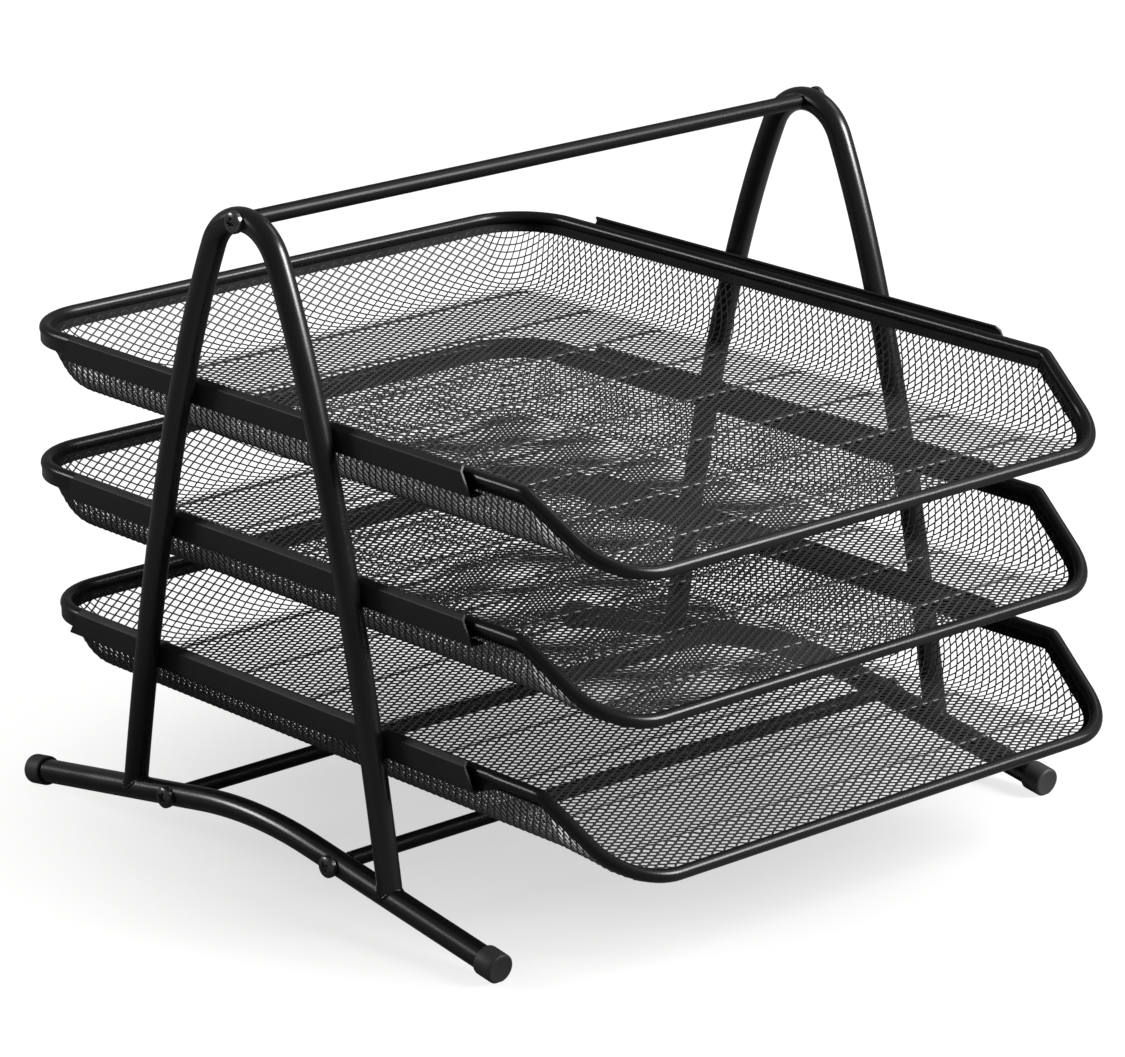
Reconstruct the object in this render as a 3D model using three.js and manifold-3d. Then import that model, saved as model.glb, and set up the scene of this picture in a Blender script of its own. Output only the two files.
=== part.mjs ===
// Three-tier letter tray: two bent-tube side frames on foot bars, tied together by
// three cross rods, carry three pairs of channel rails. Three mesh trays slide in them.
// Millimetres, +Z up, front towards -Y. Places are worked out from the middle of the
// side frames, and the whole is centred at the end.

import * as THREE from 'three';
import { mergeVertices } from 'three/addons/utils/BufferGeometryUtils.js';
import Module from 'manifold-3d';

const wasm = await Module();
wasm.setup();

// Clearances
const SEAT_GAP = 0.3; // between two pieces that are welded, screwed or seated together
const BORE_GAP = 0.3; // round a shank or plug in its hole
const RUN_GAP = 0.3; // under a rim in its rail

// Side frames and foot bars
const FRAME_HALF_SPAN = 139; // from the middle to the plane of either side frame
const TUBE_R = 4.6;
const TUBE_WALL = 1;
const APEX_Z = 250.9; // centre line of the tube at the top of the bend
const APEX_BEND_R = 20;
const LEG_BASE_Y = 75.4; // half spread of the legs where they meet the foot bar
const LEG_LEAN_TOP = 24.3; // degrees from upright, just under the bend
const LEG_LEAN_BASE = 9.2; // degrees from upright, at the foot bar
const FOOT_HALF_LENGTH = 137.9; // to the outer face of a foot cap
const FOOT_SHIFT = 2.1; // how far the foot bars stand to the rear of the legs' middle
const FOOT_SLOPE = 9; // degrees that either end of a foot bar falls
const FOOT_ARCH_HALF = 32.5; // half length of the curved middle of a foot bar
const COPE_DEPTH = 3; // how far a leg's open end reaches past the top of the foot bar

// Foot caps
const CAP_R = 5.75;
const CAP_LENGTH = 8.8;
const CAP_FLOOR = 2.8; // plastic between the cap's outer face and the tube's end
const CAP_CHAMFER = 0.7;
const PLUG_LENGTH = 7;
const GROUND_FLAT = 0.5; // how deep the cap's edge is cut flat where it stands

// Cross rods and their screws
const ROD_R = 3;
const CROSSBAR_Y = 48.2; // from the middle of a foot bar
const SCREW_R = 1.9;
const SCREW_BITE = 12; // length of shank inside a rod
const HEAD_R = 4.2;
const HEAD_HEIGHT = 2.4;
const RECESS_WIDTH = 1;
const RECESS_SPAN = 4.6;
const RECESS_DEPTH = 1.3;

// Tiers and trays
const TIER_TOP_Z = 178.9; // centre of the rim's bead on the top tray
const TIER_PITCH = 54.3;
const SIDE_PLAY = 2.2; // between a rim's bead and the web of its rail
const RIM_BACK_Y = 155.5; // to the centre of the bead
const RIM_KINK_Y = -138.9; // where the side of the rim starts to fall
const RIM_LIP_Y = -179.3;
const REAR_CORNER_R = 27;
const FRONT_CORNER_R = 23.7;
const FRONT_DRAW_IN = 4.1; // how far the falling side leans in before the front corner
const LATE_FALL = 0.4; // share of the rim's fall that is left to its front corners
const BEAD_R = 2.5;
const SKIRT_DROP = 4.9; // from the bead's centre to the skirt's lower edge
const SKIRT_THICKNESS = 1.6;
const PAN_THICKNESS = 1;
const PAN_EDGE_INSET = 1.4; // from the bead's centre line in to the pan's edge
const PAN_DEPTH = 24.8; // from the bead's centre down to the floor's upper face
const WALL_RUN = 5.4; // how far the straight part of a wall leans in
const WALL_STRAIGHT = 11.2; // height of the straight part of a wall
const FLOOR_INSET = 21; // from the bead's centre line in to the flat floor
const LIP_WALL_SHARE = 0.4; // how much of that inset is left at the front lip
const LIP_STEP = 0.3; // height of the pan's wall that is left at the front lip
const CORNER_STEPS = 6;

// Rails
const SHEET = 0.8;
const WEB_ABOVE_BEAD = 0.2; // from the top of the bead up to the bend of the upper lip
const LIP_REACH = 1.8; // inwards, and as far upwards
const BOTTOM_FLANGE = 5.5;
const RAIL_FRONT_Y = -111; // top edge of the web
const RAIL_BACK_Y = 116;
const RAIL_END_RAKE = 5; // how much longer the web's lower edge is at either end

// Pressed ribs across the floor
const RIB_PITCH = 40;
const RIB_WIDTH = 3;
const RIB_HEIGHT = 1;
const RIB_MARGIN = 4; // bare floor past either end of a rib

// Openings that stand for the fine mesh: a plain grid in the floor and a row in three walls
const GRID_COUNT = 12; // across the floor, and along each of those walls
const GRID_BAR = 4; // sheet left between two openings
const GRID_MARGIN = 2; // flat sheet left beside a rib
const WALL_MARGIN = 2.7; // sheet left at a wall's upper edge and over the floor

// Places worked out from the sizes above
const footTan = Math.tan(THREE.MathUtils.degToRad(FOOT_SLOPE));
const footCos = Math.cos(THREE.MathUtils.degToRad(FOOT_SLOPE));
const footSin = Math.sin(THREE.MathUtils.degToRad(FOOT_SLOPE));
const capEndZ = CAP_R * footCos - CAP_CHAMFER * footSin - GROUND_FLAT;
const railOuterX = FRAME_HALF_SPAN - TUBE_R - SEAT_GAP;
const rodHalf = FRAME_HALF_SPAN - TUBE_R - SEAT_GAP;
const rimHalfWidth = railOuterX - SHEET - SIDE_PLAY - BEAD_R; // to the centre of the bead
const panEdgeDrop = BEAD_R + SEAT_GAP; // from the bead's centre down to the pan's edge
const wallHeight = PAN_DEPTH - panEdgeDrop;
const lipDrop = wallHeight - LIP_STEP;
const crossbarPlaces = [FOOT_SHIFT - CROSSBAR_Y, FOOT_SHIFT + CROSSBAR_Y];
const tiers = [
  { name: 'top', z: TIER_TOP_Z, shift: 0 },
  { name: 'middle', z: TIER_TOP_Z - TIER_PITCH, shift: 2.2 },
  { name: 'bottom', z: TIER_TOP_Z - 2 * TIER_PITCH, shift: -7.3 },
];
const sides = [
  { name: 'left', sign: -1 },
  { name: 'right', sign: 1 },
];

const steelTube = new THREE.MeshStandardMaterial({ color: 0x1b1c1d, roughness: 0.42, metalness: 0.3 });
const railSheet = new THREE.MeshStandardMaterial({ color: 0x29292a, roughness: 0.5, metalness: 0.3 });
const rimSteel = new THREE.MeshStandardMaterial({ color: 0x1f2021, roughness: 0.4, metalness: 0.3 });
const meshSteel = new THREE.MeshStandardMaterial({ color: 0x242526, roughness: 0.55, metalness: 0.3 });
const capPlastic = new THREE.MeshStandardMaterial({ color: 0x1a1a1a, roughness: 0.75, metalness: 0 });
const screwSteel = new THREE.MeshStandardMaterial({ color: 0x2c2d2e, roughness: 0.35, metalness: 0.7 });

const part = new THREE.Group();

function addPiece(name, geometry, material) {
  const mesh = new THREE.Mesh(geometry, material.clone());
  mesh.name = name;
  part.add(mesh);
}

// Joining and cutting

function toSolid(geometry) {
  const bare = geometry.clone();
  bare.deleteAttribute('normal');
  bare.deleteAttribute('uv');
  const merged = mergeVertices(bare, 1e-4);
  return new wasm.Manifold(new wasm.Mesh({
    numProp: 3,
    vertProperties: new Float32Array(merged.attributes.position.array),
    triVerts: new Uint32Array(merged.index.array),
  }));
}

function toGeometry(solid) {
  const mesh = solid.getMesh();
  const geometry = new THREE.BufferGeometry();
  geometry.setAttribute('position', new THREE.Float32BufferAttribute(mesh.vertProperties, 3));
  geometry.setIndex(Array.from(mesh.triVerts));
  return geometry;
}

function box(x0, x1, y0, y1, z0, z1) {
  const geometry = new THREE.BoxGeometry(Math.abs(x1 - x0), y1 - y0, z1 - z0);
  return geometry.translate((x0 + x1) / 2, (y0 + y1) / 2, (z0 + z1) / 2);
}

// A cylinder along X between two places.
function barAlongX(radius, x0, x1, y, z, segments) {
  const geometry = new THREE.CylinderGeometry(radius, radius, Math.abs(x1 - x0), segments);
  return geometry.rotateZ(Math.PI / 2).translate((x0 + x1) / 2, y, z);
}

// Paths in the plane of a side frame. Their points are spread by hand, closer in the bends.

class SpreadPath extends THREE.Curve {
  getPointAt(u, target) {
    return this.getPoint(u, target);
  }

  getTangentAt(u, target) {
    return this.getTangent(u, target);
  }
}

// Height of the foot bar's centre line: straight falling ends and a curved middle.
function footZ(y) {
  const reach = Math.abs(y - FOOT_SHIFT);
  const straight = capEndZ + footTan * (FOOT_HALF_LENGTH - reach);
  const rise = footTan * (FOOT_ARCH_HALF - reach);
  if (reach > FOOT_ARCH_HALF) return straight;
  return straight - (rise * (FOOT_ARCH_HALF - reach)) / (2 * FOOT_ARCH_HALF);
}

class FootPath extends SpreadPath {
  constructor(x, end) {
    super();
    this.x = x;
    this.end = end;
  }

  getPoint(t, target = new THREE.Vector3()) {
    const bend = 0.2; // share of the path on each straight end
    const arch = FOOT_ARCH_HALF + 2;
    let y;
    if (t < bend) y = -this.end + ((this.end - arch) * t) / bend;
    else if (t > 1 - bend) y = this.end - ((this.end - arch) * (1 - t)) / bend;
    else y = -arch + (2 * arch * (t - bend)) / (1 - 2 * bend);
    return target.set(this.x, y + FOOT_SHIFT, footZ(y + FOOT_SHIFT));
  }
}

class LegPath extends SpreadPath {
  constructor(x) {
    super();
    const lean = THREE.MathUtils.degToRad(LEG_LEAN_TOP);
    const low = THREE.MathUtils.degToRad(LEG_LEAN_BASE);
    const baseZ = footZ(LEG_BASE_Y);
    const bendY = APEX_BEND_R * Math.cos(lean);
    const bendZ = APEX_Z - APEX_BEND_R + APEX_BEND_R * Math.sin(lean);
    const tanTop = Math.tan(lean);
    const tanLow = Math.tan(low);
    // where the two tangents of the bowed leg cross
    const kneeZ = (bendY + tanTop * bendZ - LEG_BASE_Y - tanLow * baseZ) / (tanTop - tanLow);
    const kneeY = LEG_BASE_Y - tanLow * (kneeZ - baseZ);
    const at = (y, z) => new THREE.Vector3(x, y, z);
    this.rear = new THREE.QuadraticBezierCurve3(at(LEG_BASE_Y, baseZ), at(kneeY, kneeZ), at(bendY, bendZ));
    this.x = x;
    this.lean = lean;
  }

  getPoint(t, target = new THREE.Vector3()) {
    const share = 0.32; // share of the path on each leg
    if (t < share) return this.rear.getPoint(t / share, target);
    if (t > 1 - share) {
      this.rear.getPoint((1 - t) / share, target);
      target.y = -target.y;
      return target;
    }
    const turn = this.lean + ((Math.PI - 2 * this.lean) * (t - share)) / (1 - 2 * share);
    return target.set(
      this.x,
      APEX_BEND_R * Math.cos(turn),
      APEX_Z - APEX_BEND_R + APEX_BEND_R * Math.sin(turn),
    );
  }
}

function tubeAlong(path, radius, boreRadius, steps) {
  const shape = new THREE.Shape().absarc(0, 0, radius, 0, 2 * Math.PI);
  if (boreRadius > 0) {
    shape.holes.push(new THREE.Path().absarc(0, 0, boreRadius, 0, 2 * Math.PI, true));
  }
  return new THREE.ExtrudeGeometry(shape, {
    steps, curveSegments: 7, bevelEnabled: false, extrudePath: path,
  });
}

// Side frames, foot bars and their caps

function screwHole(sign, y, z) {
  const reach = TUBE_R + 2;
  const x = sign * FRAME_HALF_SPAN;
  return toSolid(barAlongX(SCREW_R + BORE_GAP, x - reach, x + reach, y, z, 12));
}

for (const side of sides) {
  const x = side.sign * FRAME_HALF_SPAN;

  const legs = toSolid(tubeAlong(new LegPath(x), TUBE_R, TUBE_R - TUBE_WALL, 38));
  // the legs' open ends are coped to sit on the foot bar
  const cope = toSolid(tubeAlong(new FootPath(x, FOOT_HALF_LENGTH), TUBE_R + SEAT_GAP, 0, 14));
  const copeZ = footZ(LEG_BASE_Y) + TUBE_R - COPE_DEPTH;
  const under = toSolid(box(x - 10, x + 10, -2 * LEG_BASE_Y, 2 * LEG_BASE_Y, -10, copeZ));
  const cut = legs.subtract(cope).subtract(under).subtract(screwHole(side.sign, 0, APEX_Z));
  addPiece(`leg_frame_${side.name}`, toGeometry(cut), steelTube);

  const tubeEnd = FOOT_HALF_LENGTH - CAP_FLOOR * footCos;
  let bar = toSolid(tubeAlong(new FootPath(x, tubeEnd), TUBE_R, TUBE_R - TUBE_WALL, 14));
  for (const y of crossbarPlaces) bar = bar.subtract(screwHole(side.sign, y, footZ(y)));
  addPiece(`foot_bar_${side.name}`, toGeometry(bar), steelTube);
}

// A cap is a cup over the tube's end with a plug inside it, turned about its own axis.
function capGeometry() {
  const cup = TUBE_R + BORE_GAP;
  const plug = TUBE_R - TUBE_WALL - BORE_GAP;
  const outline = [
    [0, 0],
    [CAP_R - CAP_CHAMFER, 0],
    [CAP_R, CAP_CHAMFER],
    [CAP_R, CAP_LENGTH],
    [cup, CAP_LENGTH],
    [cup, CAP_FLOOR - SEAT_GAP],
    [plug, CAP_FLOOR - SEAT_GAP],
    [plug, CAP_FLOOR + PLUG_LENGTH],
    [0, CAP_FLOOR + PLUG_LENGTH],
  ];
  return new THREE.LatheGeometry(outline.map(([r, h]) => new THREE.Vector2(r, h)), 14);
}

const ground = toSolid(box(-200, 200, -200, 200, 0, 60));
for (const side of sides) {
  for (const end of [{ name: 'front', sign: -1 }, { name: 'rear', sign: 1 }]) {
    const cap = capGeometry();
    // the cap's axis runs from its outer face inwards and up along the bar
    const fall = THREE.MathUtils.degToRad(FOOT_SLOPE);
    cap.rotateX(end.sign < 0 ? fall : Math.PI - fall);
    cap.translate(side.sign * FRAME_HALF_SPAN, FOOT_SHIFT + end.sign * FOOT_HALF_LENGTH, capEndZ);
    addPiece(`foot_cap_${end.name}_${side.name}`, toGeometry(toSolid(cap).intersect(ground)), capPlastic);
  }
}

// Cross rods, tapped at both ends, and the screws that hold them

const [frontY, rearY] = crossbarPlaces;
const rods = [
  { name: 'handle_bar', screw: 'handle', y: 0, z: APEX_Z },
  { name: 'crossbar_front', screw: 'front', y: frontY, z: footZ(frontY) },
  { name: 'crossbar_rear', screw: 'rear', y: rearY, z: footZ(rearY) },
];

function screwSolid(sign, y, z) {
  const headX = FRAME_HALF_SPAN + TUBE_R + SEAT_GAP;
  const tipX = rodHalf - SCREW_BITE;
  const outline = [
    [0, tipX],
    [SCREW_R * 0.6, tipX],
    [SCREW_R, tipX + SCREW_R * 0.6],
    [SCREW_R, headX],
    [HEAD_R, headX],
    [HEAD_R, headX + HEAD_HEIGHT * 0.45],
    [HEAD_R * 0.78, headX + HEAD_HEIGHT * 0.86],
    [0, headX + HEAD_HEIGHT],
  ];
  const body = new THREE.LatheGeometry(outline.map(([r, h]) => new THREE.Vector2(r, h)), 14);
  body.rotateZ(-Math.PI / 2);
  const top = headX + HEAD_HEIGHT;
  const half = RECESS_SPAN / 2;
  const thin = RECESS_WIDTH / 2;
  const slotA = toSolid(box(top - RECESS_DEPTH, top + 1, -half, half, -thin, thin));
  const slotB = toSolid(box(top - RECESS_DEPTH, top + 1, -thin, thin, -half, half));
  const turned = toGeometry(toSolid(body).subtract(slotA.add(slotB)));
  if (sign < 0) turned.rotateZ(Math.PI);
  return turned.translate(0, y, z);
}

for (const rod of rods) {
  const bar = barAlongX(ROD_R, -rodHalf, rodHalf, rod.y, rod.z, 16);
  let solid = toSolid(bar);
  for (const side of sides) {
    const inner = side.sign * (rodHalf - SCREW_BITE - 1);
    const outer = side.sign * (rodHalf + 1);
    solid = solid.subtract(toSolid(barAlongX(SCREW_R + BORE_GAP, inner, outer, rod.y, rod.z, 12)));
    addPiece(`screw_${rod.screw}_${side.name}`, screwSolid(side.sign, rod.y, rod.z), screwSteel);
  }
  addPiece(rod.name, toGeometry(solid), steelTube);
}

// Rails: channel strips open towards the trays. The upper lip leans in over the rim,
// the lower flange carries it, and both ends are raked.

function railGeometry(sign, tier) {
  const floor = tier.z - SKIRT_DROP - RUN_GAP - SHEET;
  const bend = tier.z + BEAD_R + WEB_ABOVE_BEAD;
  const tip = bend + LIP_REACH;
  const skew = SHEET * Math.tan(Math.PI / 8); // sheet's thickness round a bend of 45 degrees
  const slant = SHEET / Math.SQRT2;
  // in from the rail's outer face, and up
  const outline = [
    [0, floor],
    [0, bend],
    [LIP_REACH, tip],
    [LIP_REACH + slant, tip - slant],
    [SHEET, bend - skew],
    [SHEET, floor + SHEET],
    [BOTTOM_FLANGE, floor + SHEET],
    [BOTTOM_FLANGE, floor],
  ];
  const shape = new THREE.Shape(outline.map(([inward, z]) => new THREE.Vector2(sign * (railOuterX - inward), z)));
  const geometry = new THREE.ExtrudeGeometry(shape, { depth: 1, bevelEnabled: false });
  // turn the drawing's Y into the model's Z, and stretch each height between its raked ends
  const place = geometry.attributes.position;
  for (let i = 0; i < place.count; i += 1) {
    const [z, along] = [place.getY(i), place.getZ(i)];
    const rake = (RAIL_END_RAKE * (bend - z)) / (bend - floor);
    const [front, back] = [RAIL_FRONT_Y - rake, RAIL_BACK_Y + rake];
    place.setXYZ(i, place.getX(i), back + (front - back) * along, z);
  }
  return geometry;
}

for (const tier of tiers) {
  for (const side of sides) {
    addPiece(`rail_${tier.name}_${side.name}`, railGeometry(side.sign, tier), railSheet);
  }
}

// Trays. The loop follows the middle of the rim's bead, clockwise seen from above. Each of
// its points knows which way is outwards and how much of the fall to the lip it has made.

function rimLoopPoints() {
  const half = rimHalfWidth;
  const loop = [];
  const corner = (cx, cy, r, from, to, fallAt) => {
    for (let i = 0; i <= CORNER_STEPS; i += 1) {
      const t = i / CORNER_STEPS;
      const a = from + (to - from) * t;
      const [nx, ny] = [Math.cos(a), Math.sin(a)];
      loop.push({ x: cx + r * nx, y: cy + r * ny, nx, ny, fall: fallAt(t) });
    }
  };
  // where the leaning side is tangent to the front corner
  const cx = half - FRONT_DRAW_IN - FRONT_CORNER_R;
  const cy = RIM_LIP_Y + FRONT_CORNER_R;
  const toKink = Math.atan2(RIM_KINK_Y - cy, half - cx);
  const start = toKink - Math.acos(FRONT_CORNER_R / Math.hypot(half - cx, RIM_KINK_Y - cy));
  const rearX = half - REAR_CORNER_R;
  const rearCentreY = RIM_BACK_Y - REAR_CORNER_R;
  const level = () => 0;
  const falling = (t) => 1 - LATE_FALL * (1 - t) ** 2;
  loop.push({ x: -half, y: RIM_KINK_Y, nx: -1, ny: 0, fall: 0 });
  corner(-rearX, rearCentreY, REAR_CORNER_R, Math.PI, Math.PI / 2, level);
  corner(rearX, rearCentreY, REAR_CORNER_R, Math.PI / 2, 0, level);
  loop.push({ x: half, y: RIM_KINK_Y, nx: 1, ny: 0, fall: 0 });
  corner(cx, cy, FRONT_CORNER_R, start, -Math.PI / 2, falling);
  corner(-cx, cy, FRONT_CORNER_R, -Math.PI / 2, -Math.PI - start, (t) => falling(1 - t));
  return loop;
}

const rimLoop = rimLoopPoints();

function closedGeometry(points, faces) {
  const geometry = new THREE.BufferGeometry();
  geometry.setAttribute('position', new THREE.Float32BufferAttribute(points.flat(), 3));
  geometry.setIndex(faces.flat());
  return geometry;
}

// Joins ring after ring of equal length; every ring runs clockwise seen from above.
function ringWall(faces, count, upper, lower) {
  for (let i = 0; i < count; i += 1) {
    const j = (i + 1) % count;
    faces.push([upper + i, upper + j, lower + j], [upper + i, lower + j, lower + i]);
  }
}

// The rim is a rolled bead with a skirt hanging from its outer side.
function rimGeometry() {
  const skirtIn = BEAD_R - SKIRT_THICKNESS;
  const end = 2 * Math.PI - Math.acos(skirtIn / BEAD_R);
  const arcSteps = 9;
  const section = [];
  for (let i = 0; i <= arcSteps; i += 1) {
    const a = (end * i) / arcSteps;
    section.push([BEAD_R * Math.cos(a), BEAD_R * Math.sin(a)]);
  }
  section.push([skirtIn, -SKIRT_DROP], [BEAD_R, -SKIRT_DROP]);
  const points = [];
  const faces = [];
  const count = rimLoop.length;
  for (const [out, up] of section) {
    for (const p of rimLoop) {
      points.push([p.x + p.nx * out, p.y + p.ny * out, up - lipDrop * p.fall]);
    }
  }
  section.forEach((_, k) => ringWall(faces, count, ((k + 1) % section.length) * count, k * count));
  return closedGeometry(points, faces);
}

// The pan's section, from its upper edge down the wall and round to the flat floor:
// how far in from the bead's centre line, and how far below the edge.
function panSection() {
  const from = new THREE.Vector2(PAN_EDGE_INSET + WALL_RUN, WALL_STRAIGHT);
  const to = new THREE.Vector2(FLOOR_INSET, wallHeight);
  // the wall's own direction meets the floor's at the curve's control point
  const knee = new THREE.Vector2(from.x + ((to.y - from.y) * WALL_RUN) / WALL_STRAIGHT, to.y);
  const curve = new THREE.QuadraticBezierCurve(from, knee, to);
  const bends = [0, 0.35, 0.65, 1].map((t) => curve.getPoint(t).toArray());
  return [[PAN_EDGE_INSET, 0], ...bends];
}

// A ring of the pan at one place of its section, on its inner face or a sheet further out.
// Where the rim has fallen, the wall is squeezed to what is left of it.
function panRing(section, k, thickness) {
  const [before, after] = [section[Math.max(k - 1, 0)], section[Math.min(k + 1, section.length - 1)]];
  return rimLoop.map((p) => {
    const share = 1 - (p.fall * lipDrop) / wallHeight;
    const lean = 1 - p.fall * (1 - LIP_WALL_SHARE);
    const along = new THREE.Vector2((after[0] - before[0]) * lean, (after[1] - before[1]) * share);
    if (k === section.length - 1) along.set(1, 0);
    along.normalize();
    const inset = section[k][0] * lean - along.y * thickness;
    const z = -PAN_DEPTH + (wallHeight - section[k][1]) * share - along.x * thickness;
    return [p.x - p.nx * inset, p.y - p.ny * inset, z];
  });
}

// Places of the ribs, evenly spread about the floor's middle.
function ribPlaces() {
  const back = RIM_BACK_Y - FLOOR_INSET - RIB_WIDTH;
  const front = RIM_LIP_Y + FLOOR_INSET + RIB_WIDTH;
  const count = Math.floor((back - front) / RIB_PITCH) + 1;
  return Array.from({ length: count }, (_, i) => (back + front) / 2 + (i - (count - 1) / 2) * RIB_PITCH);
}

// Equal stretches between two places, with a bar of sheet between them.
function stretches(from, to) {
  const pitch = (to - from) / GRID_COUNT;
  const at = (i) => [from + i * pitch + GRID_BAR / 2, from + (i + 1) * pitch - GRID_BAR / 2];
  return Array.from({ length: GRID_COUNT }, (_, i) => at(i));
}

// What is cut out of a pan: the floor between its ribs, both side walls and the back wall.
function openings() {
  const cutters = [];
  const cut = (x, y, z) => cutters.push(toSolid(box(x[0], x[1], y[0], y[1], z[0], z[1])));

  const half = rimHalfWidth - FLOOR_INSET - RIB_MARGIN;
  const beside = RIB_WIDTH / 2 + GRID_MARGIN;
  const through = [-PAN_DEPTH - 2 * PAN_THICKNESS, -PAN_DEPTH + PAN_THICKNESS];
  let from = RIM_LIP_Y + FLOOR_INSET * LIP_WALL_SHARE + GRID_MARGIN;
  for (const rib of ribPlaces()) {
    for (const across of stretches(-half, half)) cut(across, [from, rib - beside], through);
    from = rib + beside;
  }

  const rise = [-PAN_DEPTH + WALL_MARGIN, -panEdgeDrop - WALL_MARGIN];
  const outside = rimHalfWidth + 2 * BEAD_R;
  const rearStart = RIM_BACK_Y - REAR_CORNER_R;
  for (const along of stretches(RIM_KINK_Y, rearStart)) cut([-outside, outside], along, rise);
  const rearHalf = rimHalfWidth - REAR_CORNER_R;
  for (const across of stretches(-rearHalf, rearHalf)) cut(across, [rearStart, RIM_BACK_Y], rise);
  return wasm.Manifold.union(cutters);
}

function panSolid() {
  const section = panSection();
  const count = rimLoop.length;
  const points = [];
  const faces = [];
  const addRing = (k, thickness) => points.push(...panRing(section, k, thickness)) - count;
  const inner = section.map((_, k) => addRing(k, 0));
  const outer = section.map((_, k) => addRing(k, PAN_THICKNESS));
  for (let k = 0; k + 1 < section.length; k += 1) {
    ringWall(faces, count, inner[k + 1], inner[k]);
    ringWall(faces, count, outer[k], outer[k + 1]);
  }
  ringWall(faces, count, inner[0], outer[0]);

  // the flat floor on both faces
  const [top, bottom] = [inner[inner.length - 1], outer[outer.length - 1]];
  const contour = points.slice(top, top + count).map(([x, y]) => new THREE.Vector2(x, y));
  for (const [a, b, c] of THREE.ShapeUtils.triangulateShape(contour, [])) {
    faces.push([top + a, top + b, top + c], [bottom + a, bottom + c, bottom + b]);
  }
  let solid = toSolid(closedGeometry(points, faces));

  // ribs pressed up out of the floor
  const half = rimHalfWidth - FLOOR_INSET - RIB_MARGIN;
  const profile = new THREE.Shape([
    new THREE.Vector2(-RIB_WIDTH / 2, -PAN_THICKNESS / 2),
    new THREE.Vector2(RIB_WIDTH / 2, -PAN_THICKNESS / 2),
    new THREE.Vector2(RIB_WIDTH / 4, RIB_HEIGHT),
    new THREE.Vector2(-RIB_WIDTH / 4, RIB_HEIGHT),
  ]);
  for (const y of ribPlaces()) {
    const rib = new THREE.ExtrudeGeometry(profile, { depth: 2 * half, bevelEnabled: false });
    // turn the drawing's X and Y into the model's Y and Z, along X
    rib.applyMatrix4(new THREE.Matrix4().set(0, 0, 1, -half, 1, 0, 0, y, 0, 1, 0, -PAN_DEPTH, 0, 0, 0, 1));
    solid = solid.add(toSolid(rib));
  }
  return toGeometry(solid.subtract(openings()));
}

const rim = rimGeometry();
const pan = panSolid();
for (const tier of tiers) {
  addPiece(`tray_rim_${tier.name}`, rim.clone().translate(0, tier.shift, tier.z), rimSteel);
  addPiece(`tray_pan_${tier.name}`, pan.clone().translate(0, tier.shift, tier.z), meshSteel);
}

// The origin is under the middle of the whole, on the table.
const extent = new THREE.Box3().setFromObject(part);
const middle = extent.getCenter(new THREE.Vector3());
for (const mesh of part.children) mesh.position.set(-middle.x, -middle.y, -extent.min.z);

export default part;
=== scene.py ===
"""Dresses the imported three-tier letter tray: powder-coated tube, rolled rims and drawn mesh.

Sizes are in millimetres, measured from the plane of the side frames, and are turned into the
frame's metres by Datum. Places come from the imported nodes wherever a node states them.
"""

import logging
import math
from dataclasses import dataclass, field
from enum import Enum
from typing import ClassVar

import bmesh
import bpy
import numpy as np
from mathutils import Matrix, Vector


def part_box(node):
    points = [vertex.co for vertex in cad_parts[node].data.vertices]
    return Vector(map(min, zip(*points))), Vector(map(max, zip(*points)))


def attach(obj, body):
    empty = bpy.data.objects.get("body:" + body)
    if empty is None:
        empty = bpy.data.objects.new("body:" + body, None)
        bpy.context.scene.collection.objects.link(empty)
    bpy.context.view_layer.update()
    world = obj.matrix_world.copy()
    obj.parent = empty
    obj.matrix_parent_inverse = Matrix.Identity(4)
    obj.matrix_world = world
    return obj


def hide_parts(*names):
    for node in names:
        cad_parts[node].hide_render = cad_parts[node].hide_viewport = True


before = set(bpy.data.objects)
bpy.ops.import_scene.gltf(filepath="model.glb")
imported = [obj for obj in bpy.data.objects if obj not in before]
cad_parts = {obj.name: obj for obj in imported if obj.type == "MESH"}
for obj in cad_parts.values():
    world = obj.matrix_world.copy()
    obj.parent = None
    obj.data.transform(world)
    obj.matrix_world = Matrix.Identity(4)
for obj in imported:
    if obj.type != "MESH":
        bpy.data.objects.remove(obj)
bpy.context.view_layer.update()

Solid = tuple[np.ndarray, list]  # a mesh's points, in drawing millimetres, and its faces

log = logging.getLogger("letter_tray")
MM = 0.001
WHITE = (1.0, 1.0, 0.995, 1.0)
PHOTO_WIDTH = 1125
CLOUD_SCALE = 45.0  # clouds of colour and roughness to a metre
CLOUD_RANGE = (0.3, 0.7)  # the noise's lower and upper value that the roughness follows
HEM_POINTS = 3  # points at the end of the strip that grips the mesh, in a rim's section
INTERLEAVED = (0.0, 0.5)  # the two grids of holes, shifted by this part of a pitch


class Side(Enum):
    """A side of the stand, seen from the open front."""

    LEFT = "left"
    RIGHT = "right"

    @property
    def sign(self) -> int:
        """-1 on the left, 1 on the right."""
        return -1 if self is Side.LEFT else 1


class End(Enum):
    """An end of a foot bar."""

    FRONT = "front"
    REAR = "rear"

    @property
    def sign(self) -> int:
        """-1 at the front, 1 at the rear."""
        return -1 if self is End.FRONT else 1


class Tier(Enum):
    """A level of the stand that holds one tray."""

    TOP = "top"
    MIDDLE = "middle"
    BOTTOM = "bottom"


class Body(Enum):
    """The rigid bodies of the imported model."""

    STAND = "stand"
    TRAY_TOP = "tray_top"
    TRAY_MIDDLE = "tray_middle"
    TRAY_BOTTOM = "tray_bottom"


# Finishes


@dataclass(frozen=True)
class Skin:
    """A finish made into a material.

    Attributes:
        material: the node material.
        slot: the record's material slot; it is not used.
    """

    material: bpy.types.Material
    slot: str


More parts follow.
